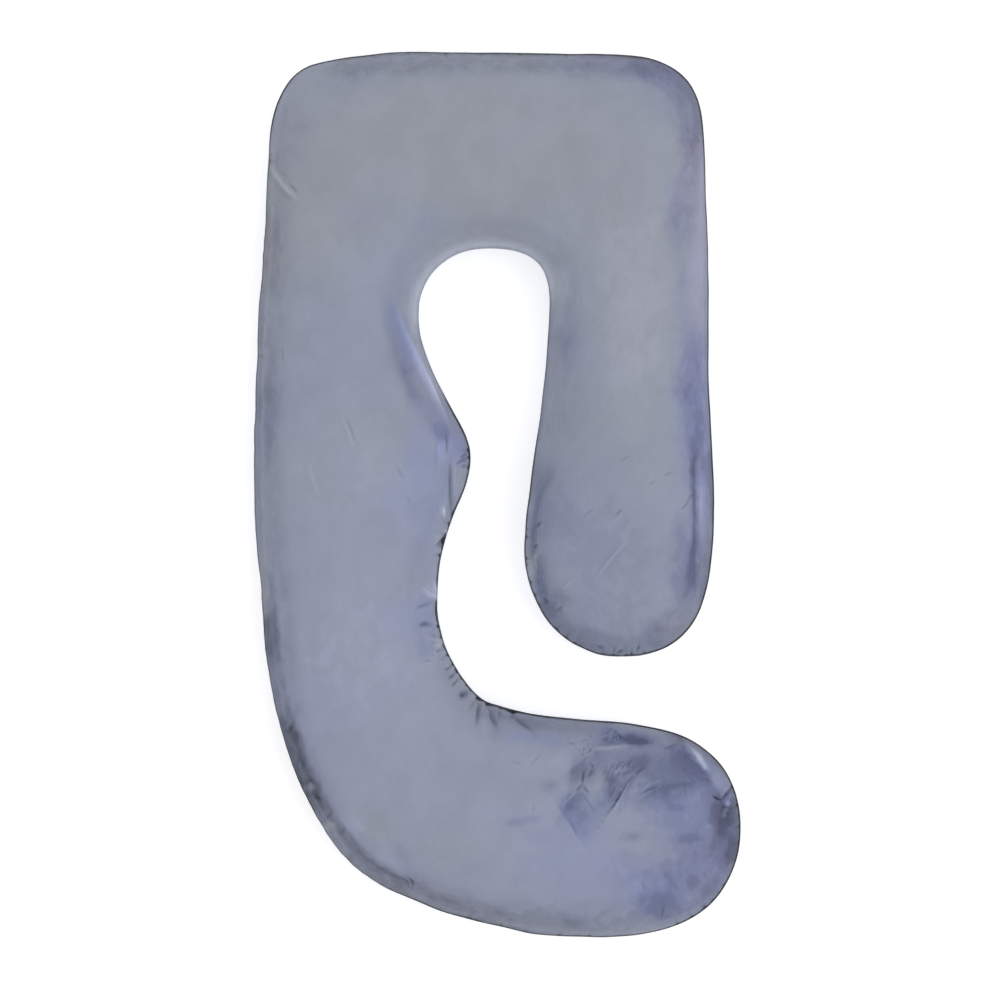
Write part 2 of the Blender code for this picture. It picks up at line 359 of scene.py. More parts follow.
# Crisp creases of the upper panel, in the same columns.
CREASES = (
    ("bump_crest", -145, 267, -73, 101, 0, 2.5, 1.4),
    ("bump_line", -72, 90, -72, 61, 0, 1.9, -2),
    ("bump_line_low", -66, 47, -66, -32, 0, 2.3, -2.2),
    ("bump_block", -88, 79, -88, 42, 0, 1.8, -0.7),
    ("bump_tip_high", -53, 52, -40, 64, 0, 1.9, -1.8),
    ("bump_tip_middle", -59, 45, -40, 54, 0, 1.8, -2.2),
    ("bump_tip_low", -51, 42, -38, 45, 0, 1.8, -1.8),
    ("waist_fleck", -78, -18, -78, -32, 0, 2.9, 1.6),
    ("waist_pit", -84, -75, -76, -60, 0, 3.2, -3.2),
    ("waist_pit_small", -88, -76, -81, -69, 0, 1.9, -1.8),
    ("star_low", -108, -138, -89, -155, 0, 2.6, 2),
    ("star_high", -94, -125, -89, -154, 0, 2.2, 1.6),
    ("star_shadow", -117, -166, -94, -157, 0, 2.3, -1.6),
    ("knee_dimple", -111, -192, -94, -190, 2.9, 3.2, -2.4),
    ("knee_dimple_low", -107, -243, -95, -243, 1.5, 1.8, -1),
    ("knee_tuck_a", -95, -204, -84, -208, 0, 1.5, -1.6),
    ("knee_tuck_b", -94, -217, -81, -214, 0, 1.8, -1.6),
    ("knee_tuck_c", -86, -229, -75, -221, 0, 1.5, -2.2),
    ("knee_tuck_d", -76, -256, -63, -250, 0, 1.5, -2.2),
    ("knee_tuck_e", -70, -268, -57, -258, 0, 1.6, -2.6),
    ("knee_tuck_f", -66, -280, -54, -267, 0, 1.5, -2.2),
    ("knee_pit", -54, -294, -41, -287, 0, 3.5, -3.4),
    ("crook_line_left", -25, -300, -29, -335, 0, 2, -1.8),
    ("crook_line_middle", -13, -308, 1, -338, 0, 2.3, -1.8),
    ("crook_line_right", 20, -319, 53, -343, 0, 2.2, -1.4),
    ("heel_scallop_a", -313, -351, -303, -335, 0, 2.6, -0.8),
    ("heel_scallop_b", -300, -385, -288, -400, 0, 2.6, -0.8),
    ("heel_scallop_c", -287, -430, -277, -419, 0, 2.3, -1),
    ("heel_scallop_d", -274, -442, -265, -452, 0, 2.2, -0.9),
    ("heel_scallop_e", -258, -482, -247, -466, 0, 2.3, -1),
    ("heel_scallop_f", -239, -505, -225, -490, 0, 2.2, -0.8),
    ("heel_fold_line", -221, -514, -135, -572, -7.3, 2.3, -0.8),
    ("heel_curl", -132, -565, -127, -583, 2.2, 1.6, -1.6),
    ("heel_curl_small", -141, -569, -132, -583, 2.2, 1.5, -0.9),
    ("corner_line", -334, 481, -293, 431, -4.4, 2.6, 1.8),
    ("corner_line_dark", -307, 455, -294, 442, 0, 2, -1.4),
    ("left_edge_line", -319, 218, -316, 186, 0, 1.8, -0.8),
    ("left_streak_high", -228, 112, -212, 71, 1.5, 2.3, 1),
    ("left_streak_high_dark", -223, 112, -208, 74, 1.5, 1.8, -0.7),
    ("left_streak_low", -278, 45, -262, -2, 0, 2.3, 0.8),
    ("left_line", -148, 42, -136, 22, 0, 1.6, -1),
    ("left_line_low", -133, -2, -126, -13, 0, 1.6, -0.8),
    ("crumple_spine", 159, -466, 184, -429, -1.5, 1.3, -1.6),
    ("crumple_spine_light", 164, -467, 187, -432, -1.5, 1.5, 1.4),
    ("crumple_spine_high", 184, -429, 200, -411, 2.2, 1.3, -1.1),
    ("crumple_spine_top", 200, -411, 219, -397, 1.5, 1.2, -0.9),
    ("crumple_edge_line", 126, -404, 124, -422, 0, 1.5, -2),
    ("crumple_edge_foot", 124, -422, 114, -433, 0, 1.6, -1.8),
    ("crumple_edge_toe", 124, -423, 133, -436, 0, 1.5, -1.7),
    ("crumple_edge_light", 117, -427, 95, -452, 1.5, 1.6, 1.3),
    ("crumple_left_line", 121, -433, 143, -466, 0.7, 1.3, -0.9),
    ("crumple_left_line_low", 104, -473, 115, -498, 0.7, 1.6, -0.9),
    ("crumple_curl", 134, -391, 140, -400, 2.2, 1.3, -1.4),
    ("crumple_curl_low", 139, -400, 130, -413, 1.5, 1.3, -1.8),
    ("crumple_curl_light", 129, -407, 136, -398, 0, 1.3, 1.1),
    ("crumple_dot_a", 152, -476, 155, -479, 0, 1.3, -1.2),
    ("crumple_dot_b", 145, -485, 148, -486, 0, 1.3, -1.2),
    ("crumple_wing", 209, -438, 235, -426, 1.5, 1.3, -1.5),
    ("crumple_wing_light", 206, -432, 241, -417, 1.5, 1.8, 0.7),
    ("crumple_top_light", 140, -370, 189, -365, -1.5, 2.2, 1.2),
    ("crumple_top_line", 151, -351, 168, -343, 1.5, 1.3, -1.3),
    ("crumple_top_line_right", 168, -343, 187, -356, 1.5, 1.3, -1.3),
    ("crumple_top_low", 155, -354, 174, -360, 0, 1.3, -1),
    ("crumple_top_small", 105, -360, 114, -363, 0, 1.8, -1.3),
    ("crumple_dash_high", 133, -350, 139, -353, 0, 1.5, -1),
    ("crumple_dash", 121, -359, 133, -356, 0.7, 1.3, -1),
    ("foot_streak", 48, -395, 64, -376, 0, 1.5, -0.8),
    ("foot_fleck", 23, -388, 35, -392, 0, 1.5, -0.9),
    ("foot_dash", 54, -451, 51, -464, 0, 1.3, -0.8),
    ("foot_dash_low", 212, -564, 216, -578, 0, 1.3, -0.8),
    ("foot_dash_end", 244, -600, 241, -619, 0, 1.5, -1),
    ("foot_end_line", 244, -372, 265, -365, 0.7, 1.3, -1.4),
    ("foot_ridge_line", 288, -369, 311, -404, 1.5, 2.2, 0.8),
    ("foot_wedge", 347, -427, 329, -447, 0, 2.3, -2.6),
    ("foot_pocket_line", 314, -439, 330, -447, -1.5, 1.6, -1.8),
    ("foot_side_ripple", 301, -414, 314, -420, 0, 1.5, -0.8),
    ("short_streak_long", 146, -120, 190, -68, 1.5, 2, 1.3),
    ("short_streak_small", 95, -139, 108, -126, 0, 2, 1.2),
    ("short_streak_edge", 48, -97, 61, -84, 0, 1.9, 1.6),
    ("short_nick", 172, -30, 183, -21, 0, 1.6, -1.6),
    ("short_pit_high", 57, -47, 63, -40, 0, 2.2, -2.2),
    ("short_pit_middle", 53, -79, 58, -72, 0, 2.3, -2),
    ("short_pit_low", 67, -152, 73, -160, 0, 2.3, -2.2),
    ("short_pit_tip", 88, -170, 96, -163, 0, 1.8, -1.4),
    ("short_mark_a", 177, 49, 194, 57, 0, 1.6, -0.9),
    ("short_mark_b", 244, 28, 260, 35, 0, 1.6, -0.9),
    ("short_mark_c", 222, 14, 232, 22, 0, 1.6, -0.9),
    ("short_mark_d", 126, -32, 143, -21, 1.5, 1.8, -0.9),
    ("short_end_a", 145, -224, 155, -227, 0, 2, -2),
    ("short_end_b", 175, -236, 186, -230, 0, 2.2, -2.4),
    ("short_end_c", 205, -234, 209, -221, 0, 1.9, -2),
)

# Rows of small parallel creases. Columns: place, first x, first y, last x, last y, count,
# length, half width, rise, all in mm, and the direction of each crease in degrees.
HATCHES = (
    ("crumple_hatch_high", 174, -395, 196, -392, 6, 12, 1.2, -1.2, 72),
    ("crumple_hatch_low", 174, -407, 190, -406, 4, 9, 1.2, -1.1, 60),
    ("crumple_hatch_left", 155, -404, 170, -400, 4, 15, 1.2, -1.1, 80),
    ("crumple_brush", 124, -376, 137, -373, 4, 13, 1.2, -1.4, 68),
    ("crumple_brush_pale", 121, -375, 136, -370, 3, 12, 1.2, 1.4, 62),
    ("crumple_hatch_pale", 171, -455, 181, -452, 3, 10, 1.2, 1.2, 80),
    ("short_side_hatch", 276, -19, 287, 0, 4, 13, 1.2, -1.5, 36),
    ("crumple_hatch_high_pale", 177, -397, 197, -394, 5, 10, 1.2, 1.2, 66),
    ("crumple_hatch_middle", 158, -416, 171, -413, 4, 12, 1.2, -1.2, 74),
    ("crumple_spine_pale", 174, -451, 190, -426, 5, 13, 1.2, 1.2, 52),
    ("crumple_top_hatch", 153, -356, 183, -351, 6, 9, 1.2, -1.1, 110),
)

# Gathers that run inwards from the seam. Columns: place, first x, first y, last x, last y,
# count, length, half width, depth, all in mm, and the slant in degrees from straight in.
GATHERS = (
    ("knee", -88, -190, -40, -286, 8, 13, 1.6, 1.4, 10),
    ("crook", -37, -289, 34, -316, 4, 20, 2.6, 1.8, 0),
    ("waist", -75, -37, -84, -95, 4, 10, 2.3, 1.6, 0),
    ("bump_tip", -40, 74, -40, 36, 3, 13, 2, 1.4, 10),
    ("heel", -310, -366, -149, -578, 5, 15, 3.2, 0.5, 20),
    ("short_inner", 45, -37, 70, -169, 7, 13, 2.5, 1.4, -12),
    ("short_tip", 151, -230, 224, -233, 5, 13, 2.2, 1.4, 10),
    ("short_low", 85, -190, 136, -224, 4, 18, 2.8, 1.2, 0),
    ("foot_end", 344, -425, 357, -520, 5, 12, 2.3, 1, 14),
    ("foot_low", 333, -566, 250, -629, 5, 18, 2.9, 0.9, 0),
    ("sole", 151, -648, -54, -615, 5, 13, 2.6, 0.6, 0),
    ("head", 121, 646, -201, 643, 6, 13, 2.3, 0.6, 0),
    ("left_notch", -335, 504, -335, 482, 2, 16, 2.3, 1.4, -25),
    ("left_nick", -351, 209, -351, 200, 1, 7, 2.3, 1.6, 0),
    ("hollow", -105, 329, 70, 329, 6, 12, 2.3, 0.6, 0),
)

SEED = 7

# A crisp crease's valley, and the low lip beside it, placed in half widths off its middle.
VALLEY_POWER = 1.3
LIP_HEIGHT = 0.30
LIP_PLACE = 2.2
LIP_WIDTH = 0.9

# How a crease weakens along its length, and the clear room between creases and the rim.
ROOTED_FADE = 0.8
END_FADE = 0.6
FADE_ENDS = (0.02, 0.98)
SEAM_CLEARANCE = 0.0012

# Where a flank's shade begins and is full, across its line, in metres.
FLANK_EDGE = (-0.0010, 0.0016)

# How uneven hatches and gathers are. Turns are in degrees, HATCH_BOW and GATHER_START in
# millimetres, and the rest are shares of the table's spacing, length or depth.
HATCH_TURN = 9
HATCH_REACH = (0.35, 0.62)
HATCH_BOW = 0.3
GATHER_SHIFT = 0.25
GATHER_TURN = 14
GATHER_START = 0.4
GATHER_LENGTH = (0.6, 1.25)
GATHER_BOW = 0.06
GATHER_DEPTH = (0.6, 1.15)

# The filling's lumps: widths in metres, a shift that sets where they fall, the share of the
# small ones, and the height above the floor where they are in full.
LUMP_WIDTHS = (0.11, 0.04)
LUMP_OFFSET = Vector((3.7, 1.9, 5.3))
SMALL_LUMPS = 0.35
LUMPS_FROM = 0.03


class Line:
    """One crease: a round arc between two points of the panel, seen from above."""

    def __init__(self, start, end, bow, half_width, rise, rooted=False):
        self.start = np.array(start)
        self.run = np.array(end) - self.start
        self.length = np.linalg.norm(self.run)
        self.left = np.array((-self.run[1], self.run[0])) / self.length
        self.bow = bow
        self.half_width = half_width
        self.rise = rise
        self.rooted = rooted

    def points(self, across):
        """Points along the crease, that far to its left."""
        count = max(2, round(self.length / CREASE_STEP))
        share = np.arange(0, 1 + SAME_PLACE, 1 / count)[:, None]
        bend = self.bow * np.sin(math.pi * share)
        return self.start + self.run * share + self.left * (bend + across)

    def offsets(self, points):
        """Each point's share of the way along, and how far it is to the left and past an end."""
        offset = points - self.start
        along = offset @ self.run / self.length ** 2
        share = np.clip(along, 0, 1)
        across = offset @ self.left - self.bow * np.sin(math.pi * share)
        return share, across, (along - share) * self.length

    def reach(self, points):
        """How far along the crease each point is, from 0 to 1, and how far off it."""
        share, across, beyond = self.offsets(points)
        return share, np.hypot(across, beyond)

    def flank(self, points, width):
        """Strength of a shade on the left of the line, sharp at the line and soft away."""
        _, across, beyond = self.offsets(points)
        edge = smooth_step(across, *FLANK_EDGE)
        return edge * np.exp(-(np.maximum(across, 0) ** 2 + beyond ** 2) / width ** 2)

    def fade(self, share):
        """Strength along the crease: a rooted one is strongest where it leaves the seam."""
        if self.rooted:
            return (1 - share) ** ROOTED_FADE
        return np.sin(math.pi * np.clip(share, *FADE_ENDS)) ** END_FADE


def soft_rise(line, points):
    """Rise of a soft fold, as a smooth swell or trough."""
    share, off = line.reach(points)
    return line.rise * line.fade(share) * np.exp(-(off / line.half_width) ** 2)


def crisp_rise(line, points):
    """Rise of a crisp crease, with a low lip on both sides."""
    share, off = line.reach(points)
    off = off / line.half_width
    valley = np.exp(-off ** VALLEY_POWER)
    lip = LIP_HEIGHT * np.exp(-((off - LIP_PLACE) / LIP_WIDTH) ** 2)
    return line.rise * line.fade(share) * (valley - lip)


def table_lines(table):
    """The creases of a table in millimetres."""
    return [
        Line((x0 * MM, y0 * MM), (x1 * MM, y1 * MM), bow * MM, half * MM, rise * MM)
        for _, x0, y0, x1, y1, bow, half, rise in table
    ]


def hatch_lines():
    """Small parallel creases, each a little different from the next."""
    random = np.random.default_rng(SEED)
    lines = []
    for _, x0, y0, x1, y1, count, length, half, rise, direction in HATCHES:
        for share in (np.arange(count) + 0.5) / count:
            middle = np.array((x0 + (x1 - x0) * share, y0 + (y1 - y0) * share)) * MM
            angle = math.radians(direction + random.uniform(-HATCH_TURN, HATCH_TURN))
            reach = np.array((math.cos(angle), math.sin(angle)))
            reach *= length * MM * random.uniform(*HATCH_REACH)
            ends = (middle - reach, middle + reach)
            lines.append(Line(*ends, HATCH_BOW * MM, half * MM, rise * MM))
    return lines


def gather_lines(loop):
    """Creases that run inwards from the seam, a little uneven in place, length and slant."""
    random = np.random.default_rng(SEED + 1)
    into = inward(loop)
    lines = []
    for _, x0, y0, x1, y1, count, length, half, depth, slant in GATHERS:
        first = seam_index(loop, x0, y0)
        span = (seam_index(loop, x1, y1) - first) % len(loop)
        if span > len(loop) // 2:
            span -= len(loop)
        for share in (np.arange(count) + 0.5) / count:
            shift = random.uniform(-GATHER_SHIFT, GATHER_SHIFT) / count
            place = round(first + span * (share + shift)) % len(loop)
            angle = math.radians(slant + random.uniform(-GATHER_TURN, GATHER_TURN))
            across, along = math.sin(angle), math.cos(angle)
            turn = np.array(((along, -across), (across, along)))
            start = loop[place] + into[place] * GATHER_START * MM
            end = start + turn @ into[place] * length * MM * random.uniform(*GATHER_LENGTH)
            bow = random.uniform(-GATHER_BOW, GATHER_BOW) * length * MM
            rise = -depth * MM * random.uniform(*GATHER_DEPTH)
            lines.append(Line(start, end, bow, half * MM, rise, rooted=True))
    return lines


def rows_beside(lines, loop):
    """Rows of points along each crease, so that the panel's triangles follow it."""
    rows = []
    for share in CREASE_ROWS:
        for side in ((1,) if share == 0 else (1, -1)):
            points = np.concatenate([
                line.points(side * share * line.half_width) for line in lines
            ])
            distance, inside = seam_distance(points, loop[::2])
            rows.append(points[inside & (distance > RIM_DEPTHS[-1] + SEAM_CLEARANCE)])
    return rows


# --- cover --------------------------------------------------------------------------------

# How the simulated cloth's moves pass to the fine cover: the lower panel's spacing and each
# point's reach in cloth spacings, how many points it takes from, and the least share of each.
LOWER_CLOTH_STEP = 1.4
CARRY_REACH = 0.75
CARRIED_FROM = 10
EVEN_SHARE = 1e-9


class Cover:
    """The pillow's closed surface, as arrays.

    points are its places, plan the same seen from above before any fold, faces its triangles
    and side is 1 on the upper panel, -1 on the lower and 0 on the seam.
    """

    def __init__(self, loop, seam_height, rim_depths, row_depths, steps, crease_rows=()):
        count = len(loop)
        rings = [loop + inward(loop) * depth for depth in rim_depths[:-1]]
        ring_share = np.repeat(np.array(rim_depths[:-1]) / rim_depths[-1], count)
        plan, height = [loop], [np.full(count, seam_height)]
        side, faces = [np.zeros(count)], []
        used = count
        for sign, step, rows in ((1, steps[0], crease_rows), (-1, steps[1], ())):
            inner, triangles = panel(loop, rim_depths[-1], row_depths, step, rows)
            flat = np.concatenate([loop, inner])
            net = np.concatenate([ribbon(0, count, count), triangles + count])
            full = fullness(flat, net, count)[count:]
            full = np.concatenate([np.tile(full[:count], len(rings)) * ring_share, full])
            plan.append(np.concatenate([*rings, inner]))
            height.append(
                seam_height + CROWN * crown_profile(full) if sign > 0
                else lower_profile(full, seam_height)
            )
            side.append(np.full(len(full), sign))
            starts = [0] + [used + index * count for index in range(len(rings) + 1)]
            net = [ribbon(a, b, count) for a, b in zip(starts, starts[1:])]
            net = np.concatenate([*net, triangles + starts[-1]])
            faces.append(net if sign > 0 else net[:, ::-1])
            used += len(full)
        self.plan = np.concatenate(plan)
        self.points = np.column_stack([self.plan, np.concatenate(height)])
        self.side = np.concatenate(side)
        self.faces = np.concatenate(faces)
        self.turn_outwards()

    def turn_outwards(self):
        """Give upper faces an upward turn and lower faces a downward one."""
        turn = signed_areas(self.plan[self.faces])
        wrong = turn * self.side[self.faces].sum(axis=1) < 0
        self.faces[wrong] = self.faces[wrong][:, ::-1]

    def normals(self):
        """The outward direction at each point."""
        corners = self.points[self.faces]
        facing = np.cross(corners[:, 1] - corners[:, 0], corners[:, 2] - corners[:, 0])
        total = np.zeros_like(self.points)
        for corner in range(3):
            for axis in range(3):
                total[:, axis] += np.bincount(
                    self.faces[:, corner], facing[:, axis], len(self.points)
                )
        return unit_rows(total)

    def raise_by(self, rise):
        """Move each point outwards by its rise."""
        self.points += self.normals() * rise[:, None]

    def mesh(self, name):
        """The cover as a Blender mesh."""
        data = bpy.data.meshes.new(name)
        data.from_pydata(self.points, [], self.faces)
        data.shade_smooth()
        return data


def nearest(points, targets):
    """Index of the target nearest to each point, and its distance, seen from above."""
    tree = kdtree.KDTree(len(targets))
    for index, (x, y) in enumerate(targets):
        tree.insert((x, y, 0), index)
    tree.balance()
    found = [tree.find((x, y, 0))[1:] for x, y in points]
    return np.array([index for index, _ in found]), np.array([gap for _, gap in found])


class Rim:
    """Where each point of the cover is along the seam, and how far in from its sewn edge."""

    def __init__(self, cover, loop, seam_height, edge_height):
        self.loop = loop
        self.seam, gap = nearest(cover.plan, loop)
        self.seam_gap = np.hypot(gap, cover.points[:, 2] - seam_height)
        self.depth = gap + edge_height
        self.shift = np.array([
            sum(
                noise.noise((x / width, y / width, 0)) * shift
                for width, shift in zip(BAND_WIDTHS, BAND_SHIFTS)
            )
            for x, y in cover.plan
        ])

    def along(self, x0, y0, x1, y1):
        """1 along the seam from one place clockwise to another, with soft ends."""
        count = len(self.loop)
        first = seam_index(self.loop, x0, y0)
        span = (seam_index(self.loop, x1, y1) - first) % count
        past = (self.seam - first + SOFT_END) % count
        start = smooth_step(past, 0, 2 * SOFT_END)
        return start * (1 - smooth_step(past, span, span + 2 * SOFT_END))

    def band(self, x0, y0, x1, y1, depth, half_width):
        """Strength of a band that follows the seam, with a slightly uneven course."""
        shift = self.shift * min(1, depth / STEADY_BAND, half_width / STEADY_BAND)
        off = (self.depth + shift - depth * MM) / (half_width * MM)
        return self.along(x0, y0, x1, y1) * np.exp(-(off ** 2) ** BAND_EDGE)


def slack_shares(plan):
    """How much spare cloth there is at each point, from 0 to 1."""
    share = np.zeros(len(plan))
    for _, x, y, radius, most in SLACK:
        gap = np.linalg.norm(plan - np.array((x, y)) * MM, axis=1)
        share = np.maximum(share, most * np.exp(-(gap / (radius * MM)) ** 2))
    return share


def simulated(cover, sizes):
    """Where cloth under the filling's pressure settles, from the cover's own shape."""
    cloth_object = bpy.data.objects.new("cloth", cover.mesh("cloth"))
    bpy.context.scene.collection.objects.link(cloth_object)
    held = (cover.side == 0) | (cover.points[:, 2] <= 0)
    slack = slack_shares(cover.plan)
    pins = cloth_object.vertex_groups.new(name="held")
    pins.add(np.flatnonzero(held).tolist(), 1.0, "REPLACE")
    spare = cloth_object.vertex_groups.new(name="slack")
    for index, share in enumerate(slack):
        spare.add([index], float(share), "REPLACE")

    cloth = cloth_object.modifiers.new("cloth", "CLOTH")
    cloth.settings.quality = sizes.cloth_quality
    cloth.settings.mass = sizes.cloth_mass
    cloth.settings.tension_stiffness = sizes.cloth_stiffness
    cloth.settings.compression_stiffness = sizes.cloth_stiffness
    cloth.settings.shear_stiffness = sizes.cloth_stiffness / 2
    cloth.settings.bending_stiffness = sizes.cloth_bending
    cloth.settings.use_pressure = True
    cloth.settings.uniform_pressure_force = sizes.pressure
    cloth.settings.vertex_group_mass = pins.name
    cloth.settings.vertex_group_shrink = spare.name
    cloth.settings.shrink_min = 0.0
    cloth.settings.shrink_max = -sizes.spare_cloth
    cloth.settings.effector_weights.gravity = 0.0
    cloth.collision_settings.use_collision = False
    cloth.point_cache.frame_start = 1
    cloth.point_cache.frame_end = sizes.cloth_frames

    scene = bpy.context.scene
    for moment in range(1, sizes.cloth_frames + 1):
        scene.frame_set(moment)
    settled = cloth_object.evaluated_get(bpy.context.evaluated_depsgraph_get()).to_mesh()
    points = np.empty(len(settled.vertices) * 3)
    settled.vertices.foreach_get("co", points)
    data = cloth_object.data
    bpy.data.objects.remove(cloth_object)
    bpy.data.meshes.remove(data)
    scene.frame_set(1)
    return points.reshape(-1, 3)


def carried(points, rest, moves, reach):
    """The simulated moves, blended from the nearest simulated points to each point."""
    tree = kdtree.KDTree(len(rest))
    for index, place in enumerate(rest):
        tree.insert(place, index)
    tree.balance()
    blended = np.zeros_like(points)
    for index, place in enumerate(points):
        found = tree.find_n(place, CARRIED_FROM)
        weights = np.array([math.exp(-(gap / reach) ** 2) for _, _, gap in found]) + EVEN_SHARE
        near = [other for _, other, _ in found]
        blended[index] = weights @ moves[near] / weights.sum()
    return blended


# --- surface ------------------------------------------------------------------------------

def fold_rises(cover, lines, shape):
    """How far each point of the upper panel rises or sinks with the given lines."""
    upper = cover.side > 0
    rise = np.zeros(len(cover.plan))
    for line in lines:
        rise[upper] += shape(line, cover.plan[upper])
    return rise


def filling_lumps(cover, sizes):
    """The soft unevenness that fibre filling gives, none where the pillow lies flat."""
    rise = np.empty(len(cover.points))
    for index, place in enumerate(map(Vector, cover.points)):
        broad = noise.noise(place / LUMP_WIDTHS[0] + LUMP_OFFSET)
        middling = noise.noise(place / LUMP_WIDTHS[1] - LUMP_OFFSET)
        rise[index] = broad + SMALL_LUMPS * middling
    return sizes.lump_height * rise * smooth_step(cover.points[:, 2], 0.0, LUMPS_FROM)


def band_rises(rim):
    """How far each point rises or sinks with the bands that follow the seam."""
    return sum(rise * MM * rim.band(*place) for _, *place, rise, _, _, _ in BANDS if rise)


def seam_groove(cover, rim, sizes):
    """The dip that the stitches pull on both sides of the seam, with the sewn edge between."""
    dip = -sizes.groove_depth * np.exp(-(rim.seam_gap / sizes.groove_width) ** 2)
    return np.where(cover.side == 0, sizes.edge_height, dip)


def let_out(cover, corners, sizes):
    """Give the cover the swells and slack of the simulated cloth."""
    seam_height = float(corners[:, 2].mean())
    loop = seam_loop(corners[:, :2], sizes.cloth_spacing)
    steps = (sizes.cloth_spacing, LOWER_CLOTH_STEP * sizes.cloth_spacing)
    loose = Cover(loop, seam_height, SLACK_ROW_DEPTHS[:1], SLACK_ROW_DEPTHS[1:], steps)
    moves = simulated(loose, sizes) - loose.points
    length = np.linalg.norm(moves, axis=1)
    moves *= np.minimum(1, sizes.largest_move / np.maximum(length, TINY))[:, None]
    reach = CARRY_REACH * sizes.cloth_spacing
    cover.points += carried(cover.points, loose.points, moves, reach)


def lay_flat(cover, resting):
    """Put the part that rests back on the floor, with nothing below it."""
    cover.points[resting, 2] = 0
    cover.points[:, 2] = np.maximum(cover.points[:, 2], 0)
